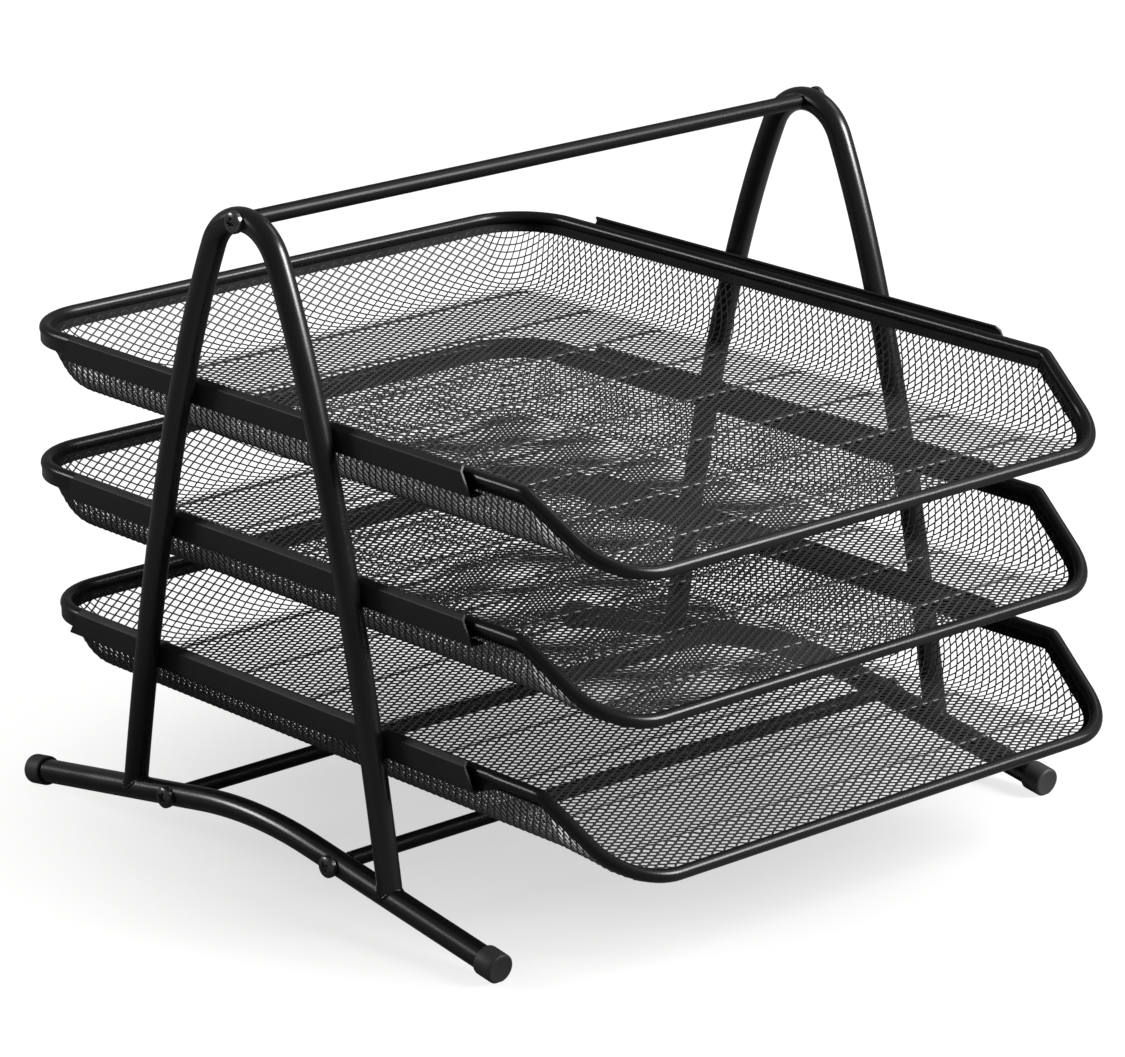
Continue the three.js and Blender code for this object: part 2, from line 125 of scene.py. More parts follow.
@dataclass(frozen=True)
class Finish:
    """A powder coat or moulded skin: a dark colour with fine relief.

    Attributes:
        name: the material's name.
        slot: the record's material slot.
        colour: linear base colour where the skin is thick.
        worn: linear base colour where it is thin or dusty.
        roughness: mean roughness.
        roughness_spread: how far the roughness wanders either way.
        peel: size of the orange peel or grain, in millimetres.
        relief: height of that grain, in millimetres.
        metallic: share of metal in the shader.
        coat: weight of the clear top layer.
        gloss: level of the mirror-like part of the shader.
        coat_roughness: roughness of the clear top layer.
        bump: strength of the relief in the shader.
    """

    name: str
    slot: str
    colour: tuple[float, float, float]
    worn: tuple[float, float, float]
    roughness: float
    roughness_spread: float
    peel: float
    relief: float
    metallic: float = 0.0
    coat: float = 0.0
    gloss: float = 0.5
    coat_roughness: float = 0.25
    bump: float = 0.6

    def build(self) -> Skin:
        """Makes the node material, with its pattern on Object coordinates.

        Returns:
            The material and its slot.
        """
        material = bpy.data.materials.new(self.name)
        material.use_nodes = True
        tree = material.node_tree
        place = add_node(tree, "ShaderNodeTexCoord").outputs["Object"]
        cloud = add_node(tree, "ShaderNodeTexNoise", {
            "Scale": CLOUD_SCALE, "Detail": 5.0, "Vector": place}).outputs["Fac"]
        colour = add_node(tree, "ShaderNodeMix", {
            "A": (*self.colour, 1.0), "B": (*self.worn, 1.0), "Factor": cloud}, data_type="RGBA")
        low, high = CLOUD_RANGE
        rough = add_node(tree, "ShaderNodeMapRange", {
            "From Min": low, "From Max": high, "To Min": self.roughness - self.roughness_spread,
            "To Max": self.roughness + self.roughness_spread, "Value": cloud})
        grain = add_node(tree, "ShaderNodeTexNoise", {
            "Scale": 1.0 / (self.peel * MM), "Detail": 2.0, "Vector": place})
        bump = add_node(tree, "ShaderNodeBump", {
            "Strength": self.bump, "Distance": self.relief * MM, "Height": grain.outputs["Fac"]})
        feed(tree, tree.nodes["Principled BSDF"], {
            "Metallic": self.metallic, "Coat Weight": self.coat, "Coat Roughness": self.coat_roughness,
            "Specular IOR Level": self.gloss, "Base Color": colour.outputs["Result"],
            "Roughness": rough.outputs["Result"], "Normal": bump.outputs["Normal"]})
        return Skin(material, self.slot)


TUBE_COAT = Finish("black_powder_coat_tube", "tube", (0.004, 0.004, 0.0045), (0.008, 0.008, 0.009),
                   0.27, 0.05, 0.9, 0.03, coat=0.3)
ROD_COAT = Finish("black_powder_coat_rod", "tube", (0.005, 0.005, 0.0055), (0.01, 0.01, 0.011),
                  0.34, 0.05, 0.9, 0.03, gloss=0.18)
RAIL_COAT = Finish("black_powder_coat_sheet", "rail", (0.02, 0.02, 0.0205), (0.028, 0.028, 0.029),
                   0.45, 0.06, 0.7, 0.03, gloss=0.22)
RIM_COAT = Finish("black_powder_coat_rim", "rim", (0.006, 0.006, 0.0065), (0.012, 0.012, 0.013),
                  0.27, 0.04, 0.8, 0.03, gloss=0.32)
HEM_COAT = Finish("black_powder_coat_hem", "rim", (0.005, 0.005, 0.0055), (0.01, 0.01, 0.011),
                  0.62, 0.08, 0.6, 0.06, gloss=0.15)
# the mesh's colour is painted far lighter than the other black coats: painted light that stands for the
# light on its strands
MESH_COAT_PAINTED_LIGHT = Finish("black_powder_coat_mesh", "mesh", (0.045, 0.046, 0.0465), (0.073, 0.074, 0.075),
                   0.34, 0.08, 0.4, 0.02)
CAP_PLASTIC = Finish("moulded_black_plastic", "cap", (0.032, 0.032, 0.032), (0.05, 0.05, 0.05),
                     0.55, 0.08, 0.35, 0.03)
SCREW_ZINC = Finish("black_zinc_screw", "screw", (0.22, 0.22, 0.23), (0.08, 0.08, 0.084),
                    0.3, 0.08, 0.5, 0.01, metallic=0.9)


# Shared node making


def feed(tree: bpy.types.NodeTree, node: bpy.types.Node, inputs: dict[str | int, object]) -> None:
    """Sets a node's inputs.

    Args:
        tree: the tree that holds the node.
        node: the node.
        inputs: by name or number, the constant or the socket that goes in.
    """
    for key, value in inputs.items():
        if isinstance(value, bpy.types.NodeSocket):
            tree.links.new(value, node.inputs[key])
        else:
            node.inputs[key].default_value = value


def add_node(tree: bpy.types.NodeTree, kind: str, inputs: dict[str | int, object] | None = None,
             **settings: object) -> bpy.types.Node:
    """Adds a node to a shader or geometry tree.

    Args:
        tree: the tree.
        kind: the node's type.
        inputs: by name or number, the constant or the socket that goes in.
        settings: the node's other properties.

    Returns:
        The new node.
    """
    node = tree.nodes.new(kind)
    for name, value in settings.items():
        setattr(node, name, value)
    feed(tree, node, inputs or {})
    return node


def open_group(name: str, inputs: dict[str, str]) -> tuple[bpy.types.NodeTree, bpy.types.Node]:
    """Starts a geometry node group, with a coat as its last input.

    Args:
        name: the group's name.
        inputs: the kinds of its own inputs, by their names.

    Returns:
        The group and its input node.
    """
    tree = bpy.data.node_groups.new(name, "GeometryNodeTree")
    for label, kind in {"Geometry": "Geometry", **inputs, "Coat": "Material"}.items():
        tree.interface.new_socket(label, in_out="INPUT", socket_type=f"NodeSocket{kind}")
    tree.interface.new_socket("Geometry", in_out="OUTPUT", socket_type="NodeSocketGeometry")
    return tree, tree.nodes.new("NodeGroupInput")


def close_group(tree: bpy.types.NodeTree, start: bpy.types.Node, instances: bpy.types.NodeSocket,
                weld: float = 0.0) -> None:
    """Ends a geometry node group: makes its instances real and gives them the coat.

    Args:
        tree: the group.
        start: its input node.
        instances: the socket that gives the instances.
        weld: points closer than this are merged, in metres; 0 merges none.
    """
    made = add_node(tree, "GeometryNodeRealizeInstances", {"Geometry": instances})
    if weld:
        made = add_node(tree, "GeometryNodeMergeByDistance", {
            "Geometry": made.outputs["Geometry"], "Distance": weld})
    paint = add_node(tree, "GeometryNodeSetMaterial", {
        "Geometry": made.outputs["Geometry"], "Material": start.outputs["Coat"]})
    add_node(tree, "NodeGroupOutput", {"Geometry": paint.outputs["Geometry"]})


# Shared mesh making


@dataclass(frozen=True)
class Datum:
    """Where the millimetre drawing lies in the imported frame.

    Attributes:
        y: the side frames' plane, in the frame's metres.
    """

    y: float

    @classmethod
    def from_frame(cls) -> "Datum":
        """Reads the plane of the side frames off the left leg frame.

        Returns:
            The datum.
        """
        low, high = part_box("leg_frame_left")
        return cls((low.y + high.y) / 2)

    def place(self, points: np.ndarray) -> np.ndarray:
        """Turns drawing points into frame points.

        Args:
            points: an array of x, y, z in millimetres.

        Returns:
            The same points in metres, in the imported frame.
        """
        return np.asarray(points, float) * MM + np.array([0.0, self.y, 0.0])

    def box(self, node: str) -> tuple[np.ndarray, np.ndarray]:
        """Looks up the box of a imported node.

        Args:
            node: the node's name.

        Returns:
            Its lowest and highest corner, in drawing millimetres.
        """
        low, high = (np.array(corner) - np.array([0.0, self.y, 0.0]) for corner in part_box(node))
        return low / MM, high / MM


def unit(vectors: np.ndarray) -> np.ndarray:
    """Scales vectors to length one.

    Args:
        vectors: one vector, or one in each row.

    Returns:
        Vectors of the same directions.
    """
    return vectors / np.linalg.norm(vectors, axis=-1, keepdims=True)


def link(name: str, data: bpy.types.ID) -> bpy.types.Object:
    """Makes an object and links it to the scene.

    Args:
        name: the object's name.
        data: its mesh, camera or lamp.

    Returns:
        The new object.
    """
    made = bpy.data.objects.new(name, data)
    bpy.context.scene.collection.objects.link(made)
    return made


def make_mesh(name: str, points: np.ndarray, faces: list | np.ndarray,
              smooth_angle: float = 40.0) -> bpy.types.Object:
    """Makes a mesh object at the origin, with soft shading below an angle.

    Args:
        name: the object's name.
        points: vertices in the frame's metres.
        faces: index tuples, or an array of them.
        smooth_angle: edges sharper than this stay sharp, in degrees.

    Returns:
        The new object, linked to the scene.
    """
    mesh = bpy.data.meshes.new(name)
    mesh.from_pydata(np.asarray(points).tolist(), [], [tuple(int(i) for i in f) for f in faces])
    mesh.validate()
    mesh.shade_smooth()
    mesh.set_sharp_from_angle(angle=math.radians(smooth_angle))
    return link(name, mesh)


def ring_faces(rings: int, count: int, closed: bool) -> list[tuple[int, ...]]:
    """Faces between neighbouring rings of equal length.

    Args:
        rings: how many rings there are.
        count: vertices in each ring.
        closed: whether the last ring joins the first.

    Returns:
        Quads, outwards when each ring turns clockwise seen along the rings.
    """
    last = rings if closed else rings - 1
    faces = []
    for i in range(last):
        a, b = i * count, ((i + 1) % rings) * count
        for j in range(count):
            k = (j + 1) % count
            faces.append((a + j, b + j, b + k, a + k))
    return faces


def hull_faces(rings: int, count: int) -> list[tuple[int, ...]]:
    """Faces between neighbouring rings, with a face over the first and over the last.

    Args:
        rings: how many rings there are.
        count: vertices in each ring.

    Returns:
        The faces of a closed solid.
    """
    last = (rings - 1) * count
    caps = [tuple(range(count)), tuple(last + j for j in reversed(range(count)))]
    return ring_faces(rings, count, False) + caps


def sweep(path: np.ndarray, side: np.ndarray, up: np.ndarray, section: np.ndarray,
          closed: bool) -> Solid:
    """Carries a section along a path.

    Args:
        path: points of the path.
        side: at each point, the direction of the section's first coordinate.
        up: at each point, the direction of its second coordinate.
        section: one outline for all points, or one for each, turning from side to up.
        closed: whether the path is a loop; otherwise its ends are capped.

    Returns:
        The points and faces of the swept solid.
    """
    section = np.asarray(section, float)
    if section.ndim == 2:
        section = np.broadcast_to(section, (len(path), *section.shape))
    count = section.shape[1]
    points = path[:, None] + side[:, None] * section[:, :, :1] + up[:, None] * section[:, :, 1:]
    faces = ring_faces(len(path), count, True) if closed else hull_faces(len(path), count)
    return points.reshape(-1, 3), faces


def outward(piece: bpy.types.Object) -> bpy.types.Object:
    """Turns a closed piece's faces outwards.

    Args:
        piece: a mesh object whose surface is closed.

    Returns:
        The same object.
    """
    work = bmesh.new()
    work.from_mesh(piece.data)
    bmesh.ops.recalc_face_normals(work, faces=work.faces)
    work.to_mesh(piece.data)
    work.free()
    return piece


def bearing(turn: np.ndarray) -> np.ndarray:
    """Unit vectors of a plane.

    Args:
        turn: their angles from the first axis to the second.

    Returns:
        Their two places, along the last axis.
    """
    return np.stack([np.cos(turn), np.sin(turn)], -1)


def circle(radius: float, count: int) -> np.ndarray:
    """Points of a circle, turning from the first axis to the second.

    Args:
        radius: the circle's radius.
        count: how many points it has.

    Returns:
        The points' two places.
    """
    return radius * bearing(np.linspace(0, 2 * math.pi, count, endpoint=False))


def bend(start: np.ndarray, corner: np.ndarray, stop: np.ndarray, count: int) -> np.ndarray:
    """A smooth line that leaves one point towards a corner and reaches another from there.

    Args:
        start: the first point.
        corner: the corner that it cuts.
        stop: the last point.
        count: how many points it has.

    Returns:
        The line's points.
    """
    t = np.linspace(0, 1, count)[:, None]
    return (1 - t) ** 2 * start + 2 * t * (1 - t) * corner + t**2 * stop


def turned(outline: list[tuple[float, float]], count: int) -> Solid:
    """Turns an outline of radius and height about the Z axis.

    Args:
        outline: radius and height, from one end on the axis to the other.
        count: how many sides the turned piece has.

    Returns:
        Points and faces, with a single point at either pole.
    """
    rings = [np.column_stack([circle(r, count), np.full(count, h)]) for r, h in outline[1:-1]]
    points = np.concatenate([[(0.0, 0.0, outline[0][1])], *rings, [(0.0, 0.0, outline[-1][1])]])
    faces = [tuple(1 + i for i in f) for f in ring_faces(len(rings), count, False)]
    last = len(points) - 1
    for j in range(count):
        k = (j + 1) % count
        faces += [(0, 1 + j, 1 + k), (last, last - count + k, last - count + j)]
    return points, faces


def sweep_along_x(path: np.ndarray, sections: np.ndarray) -> Solid:
    """Sweeps an open outline along X, its own places towards Y and Z.

    Args:
        path: the points that it passes.
        sections: the outline, or one for each point.

    Returns:
        Points and faces.
    """
    side, up = (np.tile(axis, (len(path), 1)) for axis in ((0.0, 1.0, 0.0), (0.0, 0.0, 1.0)))
    return sweep(path, side, up, sections, False)


def join(parts: list[Solid]) -> Solid:
    """Puts several meshes into one.

    Args:
        parts: points and faces of each.

    Returns:
        Points and faces of all.
    """
    points, faces, start = [], [], 0
    for part_points, part_faces in parts:
        points.append(part_points)
        faces += [tuple(start + i for i in f) for f in part_faces]
        start += len(part_points)
    return np.concatenate(points), faces


def dress(piece: bpy.types.Object, skin: Skin, body: Body, *nodes: str) -> None:
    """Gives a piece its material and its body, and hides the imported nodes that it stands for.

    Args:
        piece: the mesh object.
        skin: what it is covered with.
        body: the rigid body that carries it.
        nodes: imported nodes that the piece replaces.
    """
    piece.data.materials.clear()
    piece.data.materials.append(skin.material)
    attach(piece, body.value)
    if nodes:
        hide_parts(*nodes)
    piece.data.calc_loop_triangles()
    log.info("%s: %d triangles on %s", piece.name, len(piece.data.loop_triangles), body.value)


@dataclass
class Assembly:
    """A group of pieces that are drawn from one datum.

    Attributes:
        datum: the drawing's place in the frame.
    """

    datum: Datum

    def lay(self, name: str, solid: Solid, skin: Skin, *nodes: str,
            body: Body = Body.STAND, angle: float = 40.0) -> bpy.types.Object:
        """Makes a closed piece from its drawing and dresses it.

        Args:
            name: the piece's name.
            solid: its drawing.
            skin: what it is covered with.
            nodes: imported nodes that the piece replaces.
            body: the rigid body that carries it.
            angle: edges sharper than this stay sharp, in degrees.

        Returns:
            The new piece.
        """
        points, faces = solid
        piece = outward(make_mesh(name, self.datum.place(points), faces, angle))
        dress(piece, skin, body, *nodes)
        return piece


# Side frames


@dataclass
class SideFrame(Assembly):
    """One bent leg tube on its foot bar, with weld beads and plastic caps.

    Attributes:
        side: which side of the stand it is.
        weld_waves: the waves that make a bead uneven, each as its size, how often it comes round
            the leg, and its start in radians.
    """

    side: Side
    half_span: float = 139.0
    tube_radius: float = 4.6
    apex_z: float = 250.9
    apex_bend: float = 20.0
    leg_base_y: float = 75.4
    lean_top: float = 24.3
    lean_base: float = 9.2
    foot_half_length: float = 137.9
    foot_shift: float = 2.1
    foot_slope: float = 9.0
    foot_arch_half: float = 32.5
    cap_radius: float = 5.75
    cap_length: float = 8.8
    cap_floor: float = 2.8
    cap_end_z: float = 5.07
    dent_depth: float = 0.55
    dent_reach: float = 8.0
    dent_power: float = 0.6
    weld_radius: float = 0.6
    weld_sink: float = 0.97
    weld_steps: int = 72
    weld_sides: int = 10
    weld_waves: tuple[tuple[float, int, float], ...] = ((0.16, 17, 0.0), (0.1, 5, 1.0))
    cap_sides: int = 56
    around: int = 36

    @property
    def x(self) -> float:
        """The frame's plane, in drawing millimetres."""
        return self.side.sign * self.half_span

    def foot_z(self, y: np.ndarray | float) -> np.ndarray:
        """Height of the foot bar's centre line.

        Args:
            y: places along the bar.

        Returns:
            Heights, straight towards the ends and arched in the middle.
        """
        fall = math.tan(math.radians(self.foot_slope))
        reach = np.abs(y - self.foot_shift)
        straight = self.cap_end_z + fall * (self.foot_half_length - reach)
        inside = np.maximum(self.foot_arch_half - reach, 0)
        return straight - fall * inside**2 / (2 * self.foot_arch_half)

    def leg_line(self) -> np.ndarray:
        """Centre line of the leg tube, from the rear foot over the bend to the front foot.

        Returns:
            Points in the plane of the frame, as y and z.
        """
        lean, low = math.radians(self.lean_top), math.radians(self.lean_base)
        base_z = float(self.foot_z(self.leg_base_y))
        bend_y = self.apex_bend * math.cos(lean)
        bend_z = self.apex_z - self.apex_bend + self.apex_bend * math.sin(lean)
        top_tan, low_tan = math.tan(lean), math.tan(low)
        knee_z = (bend_y + top_tan * bend_z - self.leg_base_y - low_tan * base_z) / (top_tan - low_tan)
        knee_y = self.leg_base_y - low_tan * (knee_z - base_z)
        leg = bend(*np.array([(self.leg_base_y, base_z), (knee_y, knee_z), (bend_y, bend_z)]), 40)
        turn = np.linspace(lean, math.pi - lean, 49)[1:-1]
        top = np.array([0.0, self.apex_z - self.apex_bend]) + self.apex_bend * bearing(turn)
        return np.concatenate([leg, top, leg[::-1] * np.array([-1, 1])])

    def tube(self, line: np.ndarray) -> Solid:
        """A round tube along a line in the frame's plane.

        Args:
            line: y and z of its centre line.

        Returns:
            Points in drawing millimetres, and faces.
        """
        path = np.column_stack([np.full(len(line), self.x), line])
        along = unit(np.gradient(path, axis=0))
        side = np.tile([1.0, 0.0, 0.0], (len(path), 1))
        return sweep(path, side, np.cross(along, side), circle(self.tube_radius, self.around), False)

    def dent(self, points: np.ndarray, y: float, z: float) -> np.ndarray:
        """Presses the tube's outer side flat under a screw head.

        Args:
            points: the tube's points.
            y: the screw's place.
            z: the screw's height.

        Returns:
            The points, with the outer side drawn in round the screw.
        """
        away = np.hypot(points[:, 1] - y, points[:, 2] - z)
        outer = self.side.sign * (points[:, 0] - self.x)
        share = np.clip(1 - away / self.dent_reach, 0, 1) ** self.dent_power
        limit = self.tube_radius - self.dent_depth * share
        excess = np.maximum(outer - limit, 0)
        moved = points.copy()
        moved[:, 0] -= self.side.sign * excess
        return moved

    def weld(self, end: End) -> Solid:
        """The bead round a leg where it stands on the foot bar.

        Args:
            end: the leg that it goes round.

        Returns:
            Points in drawing millimetres, and faces.
        """
        turn = np.linspace(0, 2 * math.pi, self.weld_steps, endpoint=False)
        fall, lean = (math.tan(math.radians(angle)) for angle in (self.foot_slope, self.lean_base))
        side = np.column_stack([bearing(turn), np.zeros_like(turn)])
        out_x, out_y = self.tube_radius * bearing(turn).T
        rise = np.sqrt(np.maximum(self.tube_radius**2 - out_x**2, 0.0))
        base = float(self.foot_z(end.sign * self.leg_base_y))
        y = end.sign * (self.leg_base_y - lean * rise) + out_y
        z = base + rise * self.weld_sink - end.sign * fall * out_y
        path = np.stack([self.x + out_x, y, z], 1)
        along = unit(np.roll(path, -1, 0) - np.roll(path, 1, 0))
        wave = sum(size * np.sin(turn * count + first) for size, count, first in self.weld_waves)
        ripple = self.weld_radius * (1 + wave)
        section = circle(1.0, self.weld_sides)[None] * ripple[:, None, None]
        return sweep(path, side, unit(np.cross(along, side)), section, True)

    def cap(self, end: End) -> Solid:
        """The moulded cup over one end of the foot bar.

        Args:
            end: which end.

        Returns:
            Points in drawing millimetres, and faces.
        """
        r, far = self.cap_radius, self.cap_length
        outline = [(0, 0.3), (r * 0.55, 0.24), (r - 1.5, 0.1), (r - 1.1, 0.02), (r - 0.75, 0.06),
                   (r - 0.35, 0.26), (r - 0.1, 0.6), (r, 1.1), (r, far * 0.55), (r, far - 0.7),
                   (r - 0.1, far - 0.25), (r - 0.35, far), (r - 0.85, far - 0.05), (r - 1.0, far - 0.6),
                   (0, far - 0.7)]
        points, faces = turned(outline, self.cap_sides)
        fall = math.radians(self.foot_slope)
        turn = -math.pi / 2 + fall if end is End.FRONT else math.pi / 2 - fall
        points = points @ np.array(Matrix.Rotation(turn, 3, "X")).T
        points += np.array([self.x, self.foot_shift + end.sign * self.foot_half_length, self.cap_end_z])
        points[:, 2] = np.maximum(points[:, 2], 0.0)
        return points, faces

    def build(self, tube: Skin, plastic: Skin) -> None:
        """Makes and dresses the tubes, welds and caps.

        Args:
            tube: the tubes' powder coat.
            plastic: the caps' skin.
        """
        name = self.side.value
        points, faces = self.tube(self.leg_line())
        leg = self.dent(points, 0.0, self.apex_z), faces
        self.lay(f"leg_tube_{name}", leg, tube, f"leg_frame_{name}")
        reach = self.foot_shift + np.linspace(-1, 1, 61) * (self.foot_half_length - self.cap_floor)
        points, faces = self.tube(np.stack([reach, self.foot_z(reach)], 1))
        for end in End:
            y = self.foot_shift + end.sign * CrossRods.crossbar_y
            points = self.dent(points, y, float(self.foot_z(y)))
        self.lay(f"foot_tube_{name}", (points, faces), tube, f"foot_bar_{name}")
        self.lay(f"leg_welds_{name}", join([self.weld(end) for end in End]), tube, angle=60)
        for end in End:
            self.lay(f"cap_{end.value}_{name}", self.cap(end), plastic, f"foot_cap_{end.value}_{name}")


# Cross rods and screws


@dataclass
class CrossRods(Assembly):
    """The handle bar and the two crossbars, and the screws that hold their ends.

    Attributes:
        frame_side: a side frame, for heights and the tubes' size.
        head_rings: radii of the rings that the head's top is made of, as parts of its own.
        dome_edge: the height of the head's edge, as a part of its height in the middle.
        seat_part: the radius of the head's seat, as a part of the head's own.
    """

    frame_side: SideFrame
    crossbar_y: float = 48.2
    rod_radius: float = 3.0
    rod_chamfer: float = 0.35
    rod_stations: int = 9
    rod_ends: float = 8.0
    rod_sides: int = 28
    head_radius: float = 4.2
    head_height: float = 2.9
    head_sides: int = 64
    head_rings: tuple[float, ...] = (*np.linspace(0.18, 0.78, 13), 0.86, 0.93, 0.98, 1.0)
    dome_edge: float = 0.5
    dome_power: float = 2.6
    recess_half: float = 2.35
    recess_width: float = 0.5
    recess_depth: float = 1.5
    recess_ease: float = 0.16
    recess_end: float = 0.35
    recess_rise: float = 0.35
    skirt_height: float = 0.15
    seat_part: float = 0.96
    seat_gap: float = 0.05
    spin_first: float = 23.0
    spin_step: float = 37.0
    spin_left: float = 61.0
    rods: dict[str, str] = field(default_factory=lambda: {
        "handle_bar": "handle", "crossbar_front": "front", "crossbar_rear": "rear"})

    def rod(self, node: str) -> Solid:
        """A round rod in the place of a packed one, with chamfered ends.

        Args:
            node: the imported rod.

        Returns:
            Points in drawing millimetres, and faces.
        """
        low, high = self.datum.box(node)
        y, z = (low + high)[1:] / 2
        half, r, c = high[0], self.rod_radius, self.rod_chamfer
        middle = np.linspace(-half + self.rod_ends, half - self.rod_ends, self.rod_stations)
        stations = np.array([-half, -half + c, *middle, half - c, half])
        radii = np.array([r - c, *[r] * (self.rod_stations + 2), r - c])
        path = np.stack([stations, np.full(len(stations), y), np.full(len(stations), z)], 1)
        return sweep_along_x(path, circle(1.0, self.rod_sides)[None] * radii[:, None, None])

    def head(self) -> Solid:
        """A pan head with a cross recess, its axis along Z and its seat at zero.

        Returns:
            Points in drawing millimetres, and faces.
        """
        around, r, h = self.head_sides, self.head_radius, self.head_height
        rings = []
        for part in self.head_rings:
            ring = circle(part * r, around)
            crown = math.sqrt(max(1 - part**self.dome_power, 0.0))
            dome = h * (self.dome_edge + (1 - self.dome_edge) * crown)
            across, reach = np.abs(ring).min(1), np.abs(ring).max(1)
            slot = np.clip((self.recess_width + self.recess_ease - across) / self.recess_ease, 0, 1)
            slot *= np.clip((self.recess_half - reach) / self.recess_end, 0, 1)
            depth = self.recess_depth * slot * (1 - self.recess_rise * reach / self.recess_half)
            rings.append(np.column_stack([ring, dome - depth]))
        skirt = np.column_stack([circle(r, around), np.full(around, self.skirt_height)])
        rings += [skirt, skirt * np.array([self.seat_part, self.seat_part, 0.0])]
        points = np.concatenate([[[0, 0, h - self.recess_depth]], *rings])
        faces = [tuple(1 + i for i in f) for f in ring_faces(len(rings), around, False)]
        last = 1 + (len(rings) - 1) * around
        faces += [(0, 1 + j, 1 + (j + 1) % around) for j in range(around)]
        faces.append(tuple(last + j for j in range(around)))
        return points, faces

    def screw_tree(self) -> bpy.types.NodeTree:
        """Geometry Nodes that set one head on each point, turned to the point's side.

        Returns:
            The node group, with the head and its coat as named inputs.
        """
        tree, start = open_group("screw_heads", {"Head": "Object"})
        info = add_node(tree, "GeometryNodeObjectInfo", {"Object": start.outputs["Head"]})
        facing = add_node(tree, "GeometryNodeInputNamedAttribute", {"Name": "turn"},
                          data_type="FLOAT_VECTOR")
        spread = add_node(tree, "GeometryNodeInstanceOnPoints", {
            "Points": start.outputs["Geometry"], "Instance": info.outputs["Geometry"],
            "Rotation": facing.outputs["Attribute"]})
        close_group(tree, start, spread.outputs["Instances"])
        return tree

    def screws(self, zinc: Skin) -> bpy.types.Object:
        """The six heads on the outer sides of the tubes, as one baked piece.

        Args:
            zinc: the screws' skin.

        Returns:
            The baked object.
        """
        points, faces = self.head()
        head = outward(make_mesh("screw_head_pattern", points * MM, faces, smooth_angle=32))
        tube = self.frame_side.half_span + self.frame_side.tube_radius
        seats, turns = [], []
        for number, node in enumerate(self.rods):
            low, high = self.datum.box(node)
            for side in Side:
                seat = side.sign * (tube - self.frame_side.dent_depth + self.seat_gap)
                seats.append([seat, *(low + high)[1:] / 2])
                spin = self.spin_first + self.spin_step * number + self.spin_left * (side is Side.LEFT)
                pose = Matrix.Rotation(side.sign * math.pi / 2, 3, "Y")
                pose @= Matrix.Rotation(math.radians(spin), 3, "Z")
                turns.append(tuple(pose.to_euler()))
        carrier = make_mesh("screws", self.datum.place(np.array(seats)), [])
        turn = carrier.data.attributes.new("turn", "FLOAT_VECTOR", "POINT")
        turn.data.foreach_set("vector", np.array(turns).ravel())
        baked = bake(carrier, self.screw_tree(), {"Head": head, "Coat": zinc.material})
        bpy.data.objects.remove(head)
        return baked

    def build(self, coat: Skin, zinc: Skin) -> None:
        """Makes and dresses the rods and screws.

        Args:
            coat: the rods' powder coat.
            zinc: the screws' skin.
        """
        for node in self.rods:
            self.lay(f"{node}_rod", self.rod(node), coat, node)
        nodes = [f"screw_{word}_{side.value}" for word in self.rods.values() for side in Side]
        dress(self.screws(zinc), zinc, Body.STAND, *nodes)


def bake(carrier: bpy.types.Object, tree: bpy.types.NodeTree,
         values: dict[str, object]) -> bpy.types.Object:
    """Runs a node group on an object and keeps the result as a plain mesh.

    Args:
        carrier: the object that the group starts from; it is removed.
        tree: the geometry node group.
        values: values for the group's inputs, by their names.

    Returns:
        A new object with the carrier's name and no modifier.
    """
    name = carrier.name
    modifier = carrier.modifiers.new("pattern", "NODES")
    modifier.node_group = tree
    sockets = {s.name: s.identifier for s in tree.interface.items_tree if s.in_out == "INPUT"}
    for label, value in values.items():
        modifier[sockets[label]] = value
    bpy.context.view_layer.update()
    graph = bpy.context.evaluated_depsgraph_get()
    mesh = bpy.data.meshes.new_from_object(carrier.evaluated_get(graph))
    carrier.modifiers.remove(modifier)
    bpy.data.objects.remove(carrier)
    return link(name, mesh)


# Rails


@dataclass
class Rails(Assembly):
    """The six channel rails, bent from sheet, that the trays slide in."""

    sheet: float = 0.8
    lip_rise: float = 1.8
    lip_run: float = 1.8
    flange: float = 5.5
    rake: float = 5.0
    outer_bend: float = 0.9
    inner_bend: float = 0.3
    lip_bend: float = 0.5
    steps: int = 25

    def section(self, height: float) -> np.ndarray:
        """The bent strip's outline.

        Args:
            height: from the lower flange's underside to the bend of the upper lip.

        Returns:
            How far in from the web's outer face, and how far up, anticlockwise.
        """
        s, run, rise = self.sheet, self.lip_run, self.lip_rise
        length = math.hypot(run, rise)
        under = (run + s * rise / length, height + rise - s * run / length)
        inner = under[1] - (under[0] - s) * rise / run
        return rounded([
            (0, 0, self.outer_bend), (self.flange, 0, 0), (self.flange, s, 0), (s, s, self.inner_bend),
            (s, inner, self.lip_bend), (*under, 0), (run, height + rise, 0),
            (0, height, self.outer_bend)])

    def rail(self, node: str, side: Side) -> Solid:
        """A rail in the place of a packed one.

        Args:
            node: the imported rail.
            side: which side it is on.

        Returns:
            Points in drawing millimetres, and faces.
        """
        low, high = self.datum.box(node)
        outer = high[0] if side is Side.RIGHT else low[0]
        height = high[2] - low[2] - self.lip_rise
        outline = self.section(height)
        steps = np.linspace(0, 1, self.steps)
        rake = self.rake * (height - outline[:, 1]) / height
        front = low[1] + self.rake - rake
        back = high[1] - self.rake + rake
        y = front[None] + (back - front)[None] * steps[:, None]
        x = np.broadcast_to(outer - side.sign * outline[:, 0], y.shape)
        z = np.broadcast_to(low[2] + outline[:, 1], y.shape)
        return np.stack([x, y, z], 2).reshape(-1, 3), hull_faces(len(steps), len(outline))

    def build(self, coat: Skin) -> None:
        """Makes and dresses all rails.

        Args:
            coat: the rails' powder coat.
        """
        for tier in Tier:
            for side in Side:
                place = f"{tier.value}_{side.value}"
                rail = self.rail(f"rail_{place}", side)
                self.lay(f"channel_{place}", rail, coat, f"rail_{place}", angle=50)


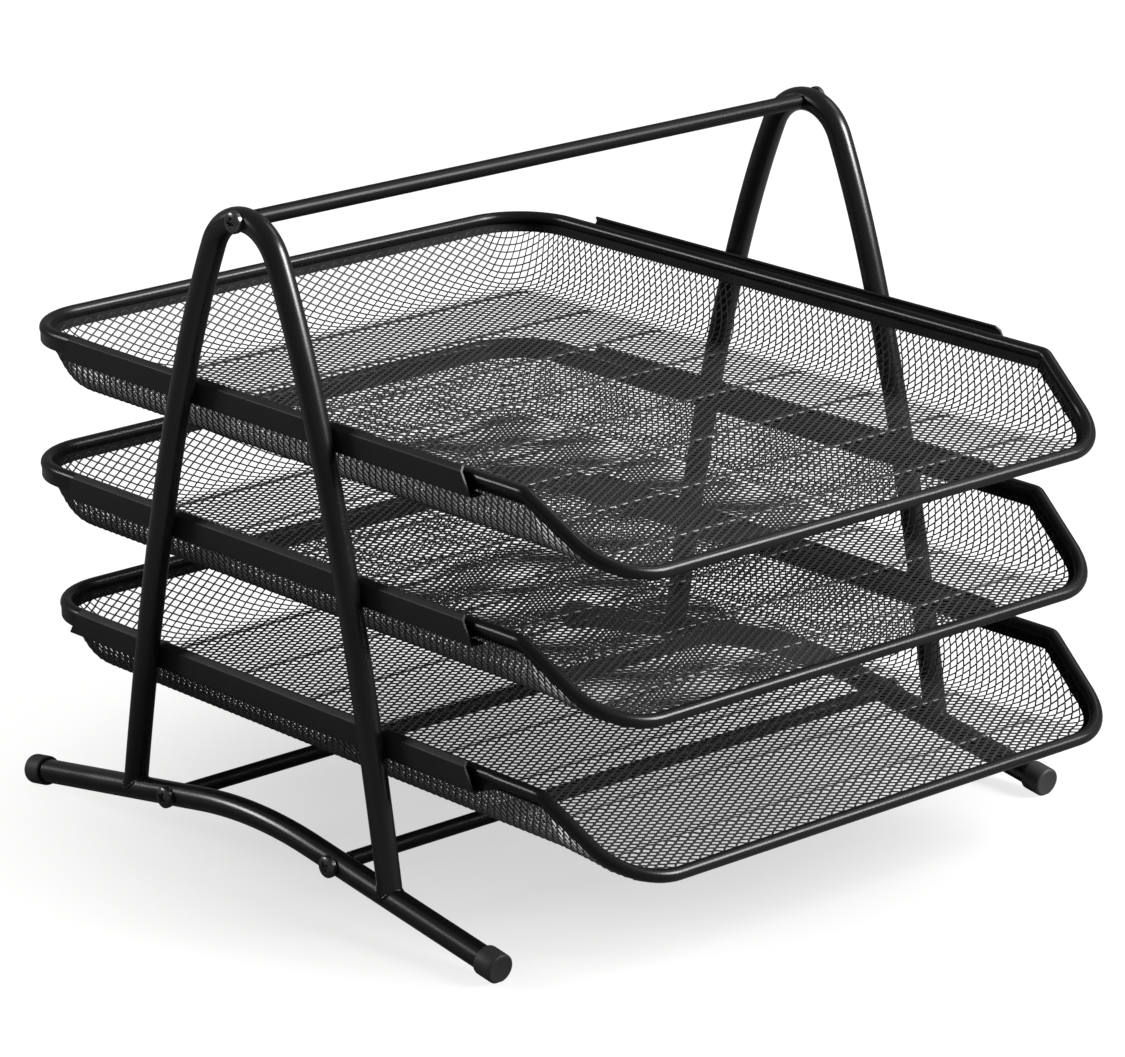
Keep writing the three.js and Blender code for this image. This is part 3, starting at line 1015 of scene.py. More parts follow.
def rounded(corners: list[tuple[float, float, float]], steps: int = 4) -> np.ndarray:
    """A closed outline with some of its corners rounded.

    Args:
        corners: each corner's two places and its radius, or 0 for a sharp one.
        steps: how many pieces a rounded corner has.

    Returns:
        The outline's points.
    """
    points = []
    for i, (x, y, radius) in enumerate(corners):
        here = np.array([x, y], float)
        if radius == 0:
            points.append(here)
            continue
        before = unit(np.array(corners[i - 1][:2]) - here)
        after = unit(np.array(corners[(i + 1) % len(corners)][:2]) - here)
        half = math.acos(float(np.clip(before @ after, -1, 1))) / 2
        reach = radius / math.tan(half)
        points.extend(bend(here + before * reach, here, here + after * reach, steps + 1))
    return np.array(points)


# Trays


@dataclass
class RimLine:
    """The middle of a rim's bead, as a closed line clockwise seen from above.

    Attributes:
        plan: x and y of each point.
        out: the level direction away from the tray at each point.
        drop: how far the bead has fallen there.
        lean: how much of the wall's inset is left there.
        past: distance past the nearest kink, negative behind it.
    """

    plan: np.ndarray
    out: np.ndarray
    drop: np.ndarray
    lean: np.ndarray
    past: np.ndarray


@dataclass
class TrayShape:
    """The sizes that all three trays share, in drawing millimetres."""

    half_width: float = 128.6
    back_y: float = 155.5
    kink_y: float = -138.9
    lip_y: float = -179.3
    packed_low: float = 26.6
    lip_drop: float = 24.1
    late_fall: float = 0.4
    rear_corner: float = 27.0
    front_corner: float = 23.7
    draw_in: float = 4.1
    kink_ease: float = 1.8
    bead_radius: float = 2.5
    skirt_drop: float = 4.9
    skirt_start: float = 21.0
    skirt_ease: float = 4.0
    bead_steps: int = 26
    under_steps: int = 6
    under_share: float = 0.96
    open_turn: float = 314.0
    skirt_turn: float = 280.0
    seam_turn: float = 4.0
    hem_reach: float = 5.9
    hem_thickness: float = 0.3
    hem_round: float = 0.1
    pan_depth: float = 24.8
    edge_inset: float = 1.0
    edge_drop: float = 2.6
    edge_margin: float = 0.4
    edge_reach: float = 8.0
    wall_run: float = 5.4
    wall_straight: float = 11.2
    floor_inset: float = 21.0
    lip_lean: float = 0.4
    rib_pitch: float = 40.0
    rib_count: int = 8
    rib_height: float = 0.6
    rib_half_width: float = 1.5
    rib_margin: float = 1.5
    rib_fade: float = 4.0
    crease_sink: float = 0.6
    crease_steps: int = 41
    crease_slope: float = 20.0
    hole_long: float = 5.85
    hole_short: float = 3.478
    blank_extra: tuple[float, float] = (28.0, 22.0)
    strand: float = 0.8
    wall_strand: float = 0.48
    floor_strand: float = 0.88
    strand_thickness: float = 0.5
    strand_twist: float = 0.22
    twist_slope: float = 4.0
    least_wall: float = 0.3
    longest_wall: float = 48.0

    @property
    def rib_half_length(self) -> float:
        """Half length of a pressed rib."""
        return self.half_width - self.floor_inset - self.rib_margin

    @property
    def rib_places(self) -> np.ndarray:
        """Where the ribs cross the floor, evenly spread about its middle."""
        steps = np.arange(self.rib_count) - (self.rib_count - 1) / 2
        return (self.back_y + self.lip_y) / 2 + self.rib_pitch * steps

    @property
    def columns(self) -> int:
        """Holes in one row of the flat sheet."""
        return int((2 * self.half_width + self.blank_extra[0]) / self.hole_long)

    @property
    def rows(self) -> int:
        """Rows of the flat sheet that are not shifted."""
        return int((self.back_y - self.lip_y + self.blank_extra[1]) / self.hole_short)

    @property
    def wall_height(self) -> float:
        """From the floor up to the mesh's edge where the rim is not lowered."""
        return self.pan_depth - self.edge_drop

    def wall_left(self, drop: np.ndarray) -> np.ndarray:
        """The part of the wall's height that is left under a lowered rim.

        Args:
            drop: how far the rim has fallen.

        Returns:
            The part at each point, never quite nothing.
        """
        return np.maximum(self.wall_height - drop, self.least_wall) / self.wall_height

    def rim_line(self) -> RimLine:
        """Walks round the rim.

        Returns:
            The line with everything that varies along it.
        """
        half, r = self.half_width, self.front_corner
        cx, cy = half - self.draw_in - r, self.lip_y + r
        away = math.hypot(half - cx, self.kink_y - cy)
        start = math.atan2(self.kink_y - cy, half - cx) - math.acos(r / away)
        tangent = np.array([cx, cy]) + r * bearing(start)
        kink = np.array([half, self.kink_y])
        fall_length = float(np.linalg.norm(tangent - kink))
        arc_length = r * (start + math.pi / 2)
        arc = np.linspace(-math.pi / 2, start, 15)[1:-1]
        rear, back = self.rear_corner, self.back_y
        rear_arc = np.linspace(0, math.pi / 2, 19)[1:-1]
        # points stand close together near the kink
        falling = np.concatenate([np.linspace(0, 0.7, 12), np.linspace(0.74, 0.995, 14)])
        level = np.concatenate([np.linspace(0.0, 0.03, 12), np.linspace(0.035, 1, 60)])
        table = np.concatenate([
            straight_rows((0.0, self.lip_y), (cx, self.lip_y), -math.pi / 2, np.linspace(0, 1, 22),
                          fall_length + arc_length + cx),
            corner_rows((cx, cy), r, arc, fall_length + r * (start - arc)),
            straight_rows(tangent, kink, start, falling, fall_length),
            straight_rows(kink, (half, back - rear), 0.0, level, 0.0),
            corner_rows((half - rear, back - rear), rear, rear_arc, -back),
            straight_rows((half - rear, back), (0.0, back), math.pi / 2, np.linspace(0, 1, 24), -back)])
        turn, past = table[:, 2], table[:, 3]
        left = np.clip(1 - (past - fall_length) / arc_length, 0, 1)
        early = (1 - self.late_fall) * soft_ramp(past, self.kink_ease) / fall_length
        fall = np.where(past < fall_length, early, 1 - self.late_fall * left**2)
        blend = np.clip((past + self.kink_ease) / (2 * self.kink_ease), 0, 1)
        turn = np.where(np.abs(past) < self.kink_ease, start * blend, turn)
        flip = np.array([-1.0, 1.0])
        return RimLine(
            plan=mirrored(table[:, :2], flip),
            out=mirrored(bearing(turn), flip),
            drop=mirrored(self.lip_drop * fall),
            lean=mirrored(1 - (1 - self.lip_lean) * fall),
            past=mirrored(past),
        )

    def wall_profile(self, count: int = 24) -> np.ndarray:
        """The wall's inner face, from the floor's edge up to the rim.

        Args:
            count: how many points the profile has.

        Returns:
            Inset from the bead and depth below the mesh's edge, evenly spaced along it.
        """
        corner = np.array([self.edge_inset + self.wall_run, self.wall_straight])
        floor = np.array([self.floor_inset, self.wall_height])
        slope = self.wall_run / self.wall_straight
        knee = np.array([corner[0] + (floor[1] - corner[1]) * slope, floor[1]])
        line = np.concatenate([bend(floor, knee, corner, 30), [[self.edge_inset, 0.0]]])
        gone = np.concatenate([[0], np.cumsum(np.linalg.norm(np.diff(line, axis=0), axis=1))])
        even = np.linspace(0, gone[-1], count)
        return np.stack([np.interp(even, gone, line[:, 0]), np.interp(even, gone, line[:, 1])], 1)


def straight_rows(a: tuple[float, float], b: tuple[float, float], turn: float, steps: np.ndarray,
                  past: float) -> np.ndarray:
    """A straight piece of the rim's line.

    Args:
        a: where it starts.
        b: where it ends.
        turn: the bearing of its outward side.
        steps: the places of its points, from 0 to 1.
        past: how far its start lies past the kink.

    Returns:
        For each point x, y, the bearing and the distance past the kink.
    """
    way = np.subtract(b, a)
    gone = past - steps * float(np.linalg.norm(way))
    return np.column_stack([a + way * steps[:, None], np.full(len(steps), turn), gone])


def corner_rows(centre: tuple[float, float], radius: float, turns: np.ndarray,
                past: np.ndarray | float) -> np.ndarray:
    """A round corner of the rim's line.

    Args:
        centre: its middle.
        radius: its radius.
        turns: the bearings of its points.
        past: how far they lie past the kink.

    Returns:
        For each point x, y, the bearing and the distance past the kink.
    """
    plan = np.array(centre) + radius * bearing(turns)
    return np.column_stack([plan, turns, np.broadcast_to(past, turns.shape)])


def mirrored(half: np.ndarray, flip: np.ndarray | float = 1.0) -> np.ndarray:
    """Closes a line that was drawn on the right half alone, and turns it clockwise.

    Args:
        half: values from the middle of the lip to the middle of the back.
        flip: what the left half is multiplied by.

    Returns:
        The values all the way round.
    """
    return np.concatenate([half, half[-2:0:-1] * flip])[::-1]


def soft_ramp(x: np.ndarray, ease: float) -> np.ndarray:
    """A ramp with a smooth foot.

    Args:
        x: places along the ramp.
        ease: the half width of the bend at zero.

    Returns:
        Zero below the bend, and x above it.
    """
    return np.where(x < -ease, 0.0, np.where(x > ease, x, (x + ease) ** 2 / (4 * ease)))


@dataclass
class DrawnSheet:
    """A flat sheet pressed into the tray's shape: carries flat points onto the tray.

    Attributes:
        ON_FLOOR: what counts as the distance past the mesh's edge for points on the floor.
        OFF_SHEET: the same for points that lie beside the walls' blank.
        shape: the tray's sizes.
        line: its rim.
    """

    ON_FLOOR: ClassVar[float] = -10.0
    OFF_SHEET: ClassVar[float] = 50.0

    shape: TrayShape
    line: RimLine

    def __post_init__(self) -> None:
        """Works out the floor's edge and each wall's length under the rim."""
        self.profile = self.shape.wall_profile()
        inset = self.shape.floor_inset * self.line.lean
        self.floor_edge = self.line.plan - self.line.out * inset[:, None]
        self.share = self.shape.wall_left(self.line.drop)
        step = np.diff(self.profile, axis=0)
        run = step[None, :, 0] * self.line.lean[:, None]
        rise = step[None, :, 1] * self.share[:, None]
        lengths = np.hypot(run, rise)
        self.lengths = np.concatenate([np.zeros((len(run), 1)), np.cumsum(lengths, 1)], 1)

    def inside(self, flat: np.ndarray) -> np.ndarray:
        """Whether flat points lie on the floor.

        Args:
            flat: x and y on the flat sheet.

        Returns:
            A mask, true inside the floor's edge.
        """
        edge = self.floor_edge
        x, y = flat[:, 0], flat[:, 1]
        result = np.zeros(len(flat), bool)
        nxt = np.roll(edge, -1, 0)
        for (x0, y0), (x1, y1) in zip(edge, nxt):
            if y0 == y1:
                continue
            hit = (y0 > y) != (y1 > y)
            result ^= hit & (x < (x1 - x0) * (y - y0) / (y1 - y0) + x0)
        return result

    def locate(self, flat: np.ndarray) -> tuple[np.ndarray, np.ndarray]:
        """Finds where flat points outside the floor come to lie on the walls.

        Args:
            flat: x and y on the flat sheet, outside the floor's edge.

        Returns:
            The place along the rim line as a fractional index, and the distance up the wall.
        """
        edge, out = self.floor_edge, self.line.out
        nxt_edge, nxt_out = np.roll(edge, -1, 0), np.roll(out, -1, 0)
        place, climb = np.zeros(len(flat)), np.full(len(flat), np.inf)
        for i in range(len(edge)):
            near = np.abs(flat - edge[i]).max(1) < self.shape.longest_wall
            if not near.any():
                continue
            p = flat[near]
            a = cross2(out[i], p - edge[i])
            b = cross2(nxt_out[i], p - nxt_edge[i])
            # the point is between the two outward lines where it has passed one and not the other
            ok = (a <= 1e-9) & (b > -1e-9) & ((p - edge[i]) @ out[i] > 0)
            t = np.clip(a / np.where(np.abs(a - b) < 1e-12, 1, a - b), 0, 1)
            foot = edge[i] + (nxt_edge[i] - edge[i]) * t[:, None]
            away = np.linalg.norm(p - foot, axis=1)
            index = np.flatnonzero(near)
            better = ok & (away < climb[index])
            place[index[better]] = i + t[better]
            climb[index[better]] = away[better]
        return place, climb

    def press(self, flat: np.ndarray, lift: np.ndarray) -> tuple[np.ndarray, np.ndarray]:
        """Carries flat points onto the tray.

        Args:
            flat: x and y on the flat sheet.
            lift: how far each point stands off the sheet's middle, along its normal.

        Returns:
            Points in drawing millimetres below the rim's level, and how far each lies past the
            mesh's edge (negative on the tray).
        """
        points = np.column_stack([flat, np.full(len(flat), -self.shape.pan_depth)])
        normal = np.tile([0.0, 0.0, 1.0], (len(flat), 1))
        past = np.full(len(flat), self.ON_FLOOR)
        floor = self.inside(flat)
        rib, slope = self.ribs(flat)
        points[:, 2] += np.where(floor, rib, 0)
        normal[:, 1] = -np.where(floor, slope, 0)
        outside = np.flatnonzero(~floor)
        place, climb = self.locate(flat[outside])
        found = np.isfinite(climb)
        past[outside[~found]] = self.OFF_SHEET
        outside = outside[found]
        points[outside], normal[outside], past[outside] = self.raise_wall(place[found], climb[found])
        return points + unit(normal) * lift[:, None], past

    def raise_wall(self, place: np.ndarray, climb: np.ndarray) -> tuple[np.ndarray, ...]:
        """Carries points up the walls.

        Args:
            place: where they stand along the rim line, as a fractional index.
            climb: their distance up the wall.

        Returns:
            Points in drawing millimetres below the rim's level, the sheet's normal there, not yet
            of unit length, and how far each lies past the mesh's edge.
        """
        i = np.floor(place).astype(int) % len(self.floor_edge)
        j = (i + 1) % len(self.floor_edge)
        t = place - np.floor(place)

        def between(values: np.ndarray) -> np.ndarray:
            """Takes values of the rim's points to the walls' points that lie between them.

            Args:
                values: a value or a vector for each of the rim's points.

            Returns:
                One for each of the walls' points.
            """
            part = t.reshape(-1, *[1] * (values.ndim - 1))
            return values[i] * (1 - part) + values[j] * part

        out = unit(between(self.line.out))
        lean = between(self.line.lean)
        share = between(self.share)
        total = between(self.lengths[:, -1])
        up = np.clip(climb / total, 0, 1) * (len(self.profile) - 1)
        k = np.minimum(np.floor(up).astype(int), len(self.profile) - 2)
        f = (up - k)[:, None]
        here = self.profile[k] * (1 - f) + self.profile[k + 1] * f
        step = self.profile[k + 1] - self.profile[k]
        plan = between(self.line.plan) - out * (here[:, 0] * lean)[:, None]
        height = (self.shape.wall_height - here[:, 1]) * share - self.shape.pan_depth
        rise = -step[:, 1] * share
        run = -step[:, 0] * lean
        # the sheet goes up by rise while it goes out by run, so it faces inwards and up
        size = np.hypot(rise, run)
        normal = np.column_stack([-out * (rise / size)[:, None], run / size])
        return np.column_stack([plan, height]), normal, climb - total

    def ribs(self, flat: np.ndarray) -> tuple[np.ndarray, np.ndarray]:
        """The pressed ribs' height and slope at flat points.

        Args:
            flat: x and y on the flat sheet.

        Returns:
            Height over the floor, and its slope along y.
        """
        shape = self.shape
        places = shape.rib_places
        number = np.clip(np.round((flat[:, 1] - places[0]) / shape.rib_pitch), 0, shape.rib_count - 1)
        away = flat[:, 1] - places[number.astype(int)]
        w = shape.rib_half_width
        end = np.clip((shape.rib_half_length - np.abs(flat[:, 0])) / shape.rib_fade, 0, 1)
        height = shape.rib_height * np.exp(-((away / w) ** 2)) * end
        return height, height * -2 * away / w**2


def cross2(a: np.ndarray, b: np.ndarray) -> np.ndarray:
    """The cross product of plane vectors.

    Args:
        a: one vector, or one in each row.
        b: the other.

    Returns:
        The products, positive where b lies to the left of a.
    """
    return a[..., 0] * b[..., 1] - a[..., 1] * b[..., 0]


@dataclass
class ExpandedMesh:
    """Expanded metal: rows of diamond holes with twisted strands, made by Geometry Nodes.

    Attributes:
        shape: the tray's sizes, with those of the holes.
        weld_reach: corners of neighbouring cells closer than this are one, in millimetres.
    """

    shape: TrayShape
    weld_reach: float = 0.02

    def cell(self) -> bpy.types.Object:
        """One hole's walls with the two strands and the knuckle to its right.

        Returns:
            An object that fits its neighbours one pitch away.
        """
        s = self.shape
        long, short = s.hole_long / 2, s.hole_short / 2
        edge = math.hypot(long, short)
        a, b = s.strand / 2 * edge / short, s.strand / 2 * edge / long
        hole = [(long - a, 0), (0, short - b), (a - long, 0), (0, b - short)]
        right, top, left, bottom = hole
        upper = [(long + x, short + y) for x, y in (left, bottom)]
        lower = [(long + x, y - short) for x, y in (top, left)]
        beyond = (2 * long + left[0], 0.0)
        plan = [right, top, left, bottom, *upper, *lower, beyond]
        half = s.strand_thickness / 2
        points = [(x, y, z) for z in (half, -half) for x, y in plan]
        n = len(plan)
        sheet = [(1, 0, 5, 4), (0, 3, 7, 6), (0, 6, 8, 5)]
        faces = sheet + [tuple(n + i for i in reversed(f)) for f in sheet]
        for i in range(4):
            j = (i + 1) % 4
            faces.append((i, j, n + j, n + i))
        mesh = bpy.data.meshes.new("mesh_cell")
        mesh.from_pydata([(x * MM, y * MM, z * MM) for x, y, z in points], [], faces)
        return link("mesh_cell", mesh)

    def tree(self) -> bpy.types.NodeTree:
        """Geometry Nodes that lay two interleaved grids of cells and weld them together.

        Returns:
            The node group, with the pitches and counts as named inputs.
        """
        tree, start = open_group("expanded_mesh", {
            "Cell": "Object", "Long pitch": "Float", "Short pitch": "Float", "Columns": "Int",
            "Rows": "Int"})
        given = start.outputs
        info = add_node(tree, "GeometryNodeObjectInfo", {"Object": given["Cell"]})
        both = add_node(tree, "GeometryNodeJoinGeometry")

        def sum_of(kind: str, a: bpy.types.NodeSocket,
                   b: bpy.types.NodeSocket | float) -> bpy.types.NodeSocket:
            """Adds a math node.

            Args:
                kind: what it works out.
                a: its first number.
                b: its second.

            Returns:
                The socket that gives the result.
            """
            return add_node(tree, "ShaderNodeMath", {0: a, 1: b}, operation=kind).outputs[0]

        sizes = {}
        for axis, pitch, count in (("X", "Long pitch", "Columns"), ("Y", "Short pitch", "Rows")):
            steps = sum_of("SUBTRACT", given[count], 1.0)
            sizes[f"Size {axis}"] = sum_of("MULTIPLY", given[pitch], steps)
            sizes[f"Vertices {axis}"] = given[count]
        for shift in INTERLEAVED:
            grid = add_node(tree, "GeometryNodeMeshGrid", sizes)
            offset = add_node(tree, "ShaderNodeCombineXYZ", {
                "X": sum_of("MULTIPLY", given["Long pitch"], shift),
                "Y": sum_of("MULTIPLY", given["Short pitch"], shift)})
            move = add_node(tree, "GeometryNodeSetPosition", {
                "Geometry": grid.outputs["Mesh"], "Offset": offset.outputs["Vector"]})
            spread = add_node(tree, "GeometryNodeInstanceOnPoints", {
                "Points": move.outputs["Geometry"], "Instance": info.outputs["Geometry"]})
            feed(tree, both, {"Geometry": spread.outputs["Instances"]})
        close_group(tree, start, both.outputs["Geometry"], self.weld_reach * MM)
        return tree

    def flat(self, coat: Skin) -> tuple[np.ndarray, np.ndarray]:
        """The flat perforated sheet, larger than the tray's blank.

        Args:
            coat: the mesh's powder coat.

        Returns:
            Points in millimetres about the sheet's middle, and quads.
        """
        s = self.shape
        cell = self.cell()
        carrier = make_mesh("flat_mesh", np.zeros((1, 3)), [])
        sheet = bake(carrier, self.tree(), {
            "Cell": cell, "Long pitch": s.hole_long * MM, "Short pitch": s.hole_short * MM,
            "Columns": s.columns, "Rows": s.rows, "Coat": coat.material})
        points = np.zeros(len(sheet.data.vertices) * 3)
        sheet.data.vertices.foreach_get("co", points)
        corners = np.zeros(len(sheet.data.loops), int)
        sheet.data.loops.foreach_get("vertex_index", corners)
        bpy.data.objects.remove(sheet)
        bpy.data.objects.remove(cell)
        return points.reshape(-1, 3) / MM, corners.reshape(-1, 4)

    def open_walls(self, flat: np.ndarray, floor: np.ndarray) -> np.ndarray:
        """Gives the walls finer strands than the floor, as the drawing stretched them.

        Args:
            flat: the flat sheet's points, about its middle.
            floor: which of them come to lie on the floor.

        Returns:
            The points, each moved from or to the middle of its own hole.
        """
        s = self.shape
        pitch = np.array([s.hole_long, s.hole_short])
        first = np.array([s.columns - 1, s.rows - 1]) * pitch / 2
        best, centre = np.full(len(flat), np.inf), np.zeros_like(flat)
        for shift in INTERLEAVED:
            near = (np.round((flat + first) / pitch - shift) + shift) * pitch - first
            away = (np.abs(flat - near) / pitch).sum(1)
            closer = away < best
            best[closer], centre[closer] = away[closer], near[closer]
        edge = math.hypot(*pitch)
        strand = np.where(floor, s.floor_strand, s.wall_strand)
        size = (pitch.prod() - strand * edge) / (pitch.prod() - s.strand * edge)
        return centre + (flat - centre) * size[:, None]


@dataclass
class Trays(Assembly):
    """The three trays: a drawn mesh pan bound by a rolled rim.

    Attributes:
        shape: the trays' sizes.
    """

    shape: TrayShape = field(default_factory=TrayShape)

    def place_of(self, tier: Tier) -> np.ndarray:
        """How far a tray's drawing is shifted along y, and the height of its bead.

        Args:
            tier: the tray's level.

        Returns:
            The shift to add to the tray's own points, in drawing millimetres.
        """
        low, high = self.datum.box(f"tray_rim_{tier.value}")
        shift = high[1] - self.shape.bead_radius - self.shape.back_y
        level = low[2] + self.shape.packed_low
        return np.array([0.0, shift, level])

    def hem_tips(self, line: RimLine) -> np.ndarray:
        """Where the strip that grips the mesh ends, in each section of the rim.

        Args:
            line: the middle of the bead.

        Returns:
            Outward and upward places, measured from the bead's middle.
        """
        s = self.shape
        profile = np.concatenate([s.wall_profile()[::-1], [[s.floor_inset * 2, s.wall_height]]])
        tips = []
        for left, lean, drop in zip(s.wall_left(line.drop), line.lean, line.drop):
            out = -profile[:, 0] * lean
            up = (s.wall_height - profile[:, 1]) * left - s.pan_depth + drop
            away = np.hypot(out, up)
            tips.append([np.interp(s.hem_reach, away, out), np.interp(s.hem_reach, away, up)])
        return np.array(tips)

    def rim_section(self, line: RimLine) -> np.ndarray:
        """The rolled strip's outline at each point of the rim.

        Args:
            line: the middle of the bead.

        Returns:
            For each point, outward and upward places of the outline.
        """
        s = self.shape
        sections = []
        for tip, past in zip(self.hem_tips(line), line.past):
            skirt = float(np.clip((-past - s.skirt_start) / s.skirt_ease, 0, 1))
            leave = math.atan2(tip[1], tip[0]) % (2 * math.pi) + math.radians(s.seam_turn / 2)
            first = leave - math.radians(s.open_turn + (s.skirt_turn - s.open_turn) * skirt)
            seam = math.radians(s.seam_turn)
            bead = s.bead_radius * bearing(np.linspace(first, leave - seam, s.bead_steps))
            along = unit(tip)
            across = s.hem_thickness / 2 * np.array([along[1], -along[0]])
            back = tip - s.hem_round * along
            hem = [back - across, tip + s.hem_round / 2 * along, back + across]
            turn = np.linspace(leave + 1.5 * seam, first + 2 * math.pi - seam, s.under_steps)
            under = s.under_share * s.bead_radius * bearing(turn)
            low, outer = -s.skirt_drop, bead[0, 0]
            sheet = np.array([under[0], (0.5, -2.3), (outer - 0.75, low + 0.3), (outer - 0.6, low),
                              (outer - 0.15, low), (outer, low + 0.3)])
            sections.append(np.concatenate([bead, hem, under + (sheet - under) * skirt]))
        return np.array(sections)

    def rim(self, line: RimLine) -> Solid:
        """The rolled rim, about its own bead's level.

        Args:
            line: the middle of the bead.

        Returns:
            Points in drawing millimetres, and faces.
        """
        path = np.column_stack([line.plan, -line.drop])
        along = unit(np.roll(path, -1, 0) - np.roll(path, 1, 0))
        side = np.column_stack([line.out, np.zeros(len(path))])
        side = unit(side - along * (side * along).sum(1)[:, None])
        up = np.cross(side, along)
        up *= np.sign(up[:, 2:])
        return sweep(path, side, up, self.rim_section(line), True)

    def pan(self, line: RimLine, coat: Skin) -> Solid:
        """The drawn mesh, about the rim's level.

        Args:
            line: the middle of the bead.
            coat: the mesh's powder coat.

        Returns:
            Points in drawing millimetres, and faces.
        """
        s = self.shape
        mesh = ExpandedMesh(s)
        points, quads = mesh.flat(coat)
        middle = np.array([0.0, (s.back_y + s.lip_y) / 2])
        flat = points[:, :2] + middle
        # strands twist: a hole's front corner stands proud, its rear corner lies low
        row = (flat[:, 1] - flat[:, 1].min()) / (s.hole_short / 2)
        wave = np.round(row) - row
        lift = points[:, 2] - s.strand_thickness / 2 + s.strand_twist * np.clip(wave * s.twist_slope, -1, 1)
        sheet = DrawnSheet(s, line)
        flat = mesh.open_walls(points[:, :2], sheet.inside(flat)) + middle
        pressed, past = sheet.press(flat, lift)
        # the hem covers the mesh's edge, so what reaches over it a little may stay
        keep = (past[quads].min(1) < s.edge_margin) & (past[quads].max(1) < s.edge_reach)
        used, quads = np.unique(quads[keep], return_inverse=True)
        return join([(pressed[used], quads.reshape(-1, 4).tolist()), self.creases()])

    def creases(self) -> Solid:
        """The closed strips under the ribs, where the press has shut the holes.

        Returns:
            Points in drawing millimetres below the rim's level, and faces.
        """
        s = self.shape
        steps = np.linspace(-1, 1, s.crease_steps)
        rise = s.rib_height * np.clip((1 - np.abs(steps)) * s.crease_slope, 0, 1) - s.crease_sink
        ridge = np.array([(0.5, -0.1), (0.3, 0.2), (0.0, 0.32), (-0.3, 0.2), (-0.5, -0.1), (0.0, -0.25)])
        parts = []
        for y in s.rib_places:
            path = np.stack([steps * s.rib_half_length, np.full(len(steps), y), rise - s.pan_depth], 1)
            parts.append(sweep_along_x(path, ridge))
        return join(parts)

    def build(self, rim_coat: Skin, hem_coat: Skin, mesh_coat_painted_light: Skin) -> None:
        """Makes and dresses the three trays.

        Args:
            rim_coat: the rims' powder coat.
            hem_coat: the duller coat where the rims grip the mesh.
            mesh_coat_painted_light: the mesh's powder coat, its colour painted lighter to stand for the
                light on the strands.
        """
        line = self.shape.rim_line()
        rim_points, rim_faces = self.rim(line)
        pan_points, pan_faces = self.pan(line, mesh_coat_painted_light)
        around = len(rim_points) // len(line.plan)
        first = self.shape.bead_steps - 1
        seam = range(first, first + HEM_POINTS + 2)
        for tier in Tier:
            level, shift = tier.value, self.place_of(tier)
            body = Body(f"tray_{level}")
            rim = self.lay(f"rolled_rim_{level}", (rim_points + shift, rim_faces), rim_coat,
                           f"tray_rim_{level}", body=body, angle=50)
            rim.data.materials.append(hem_coat.material)
            for face in rim.data.polygons:
                face.material_index = int(all(corner % around in seam for corner in face.vertices))
            place = self.datum.place(pan_points + shift)
            pan = make_mesh(f"mesh_pan_{level}", place, pan_faces, smooth_angle=30)
            dress(pan, mesh_coat_painted_light, body, f"tray_pan_{level}")


# Studio


@dataclass(frozen=True)
class Lamp:
    """A square soft lamp that faces the object.

    Attributes:
        name: the lamp's name.
        place: where it hangs, in metres.
        size: its side, in metres.
        power: its power, in watts.
        aim: the height that it faces, in metres.
    """

    name: str
    place: tuple[float, float, float]
    size: float
    power: float
    aim: float = 0.12

    def hang(self) -> None:
        """Adds the lamp to the scene."""
        data = bpy.data.lights.new(self.name, "AREA")
        data.shape = "SQUARE"
        data.size = self.size
        data.energy = self.power
        lamp = link(self.name, data)
        lamp.matrix_world = looking(Vector(self.place), Vector((0.0, 0.0, self.aim)))


LAMPS = (Lamp("key_lamp", (1.05, -1.5, 1.35), 0.9, 70.0), Lamp("top_lamp", (1.3, -0.1, 1.9), 0.8, 3.0),
         Lamp("rear_lamp", (-1.28, 1.57, 0.95), 0.5, 12.0))


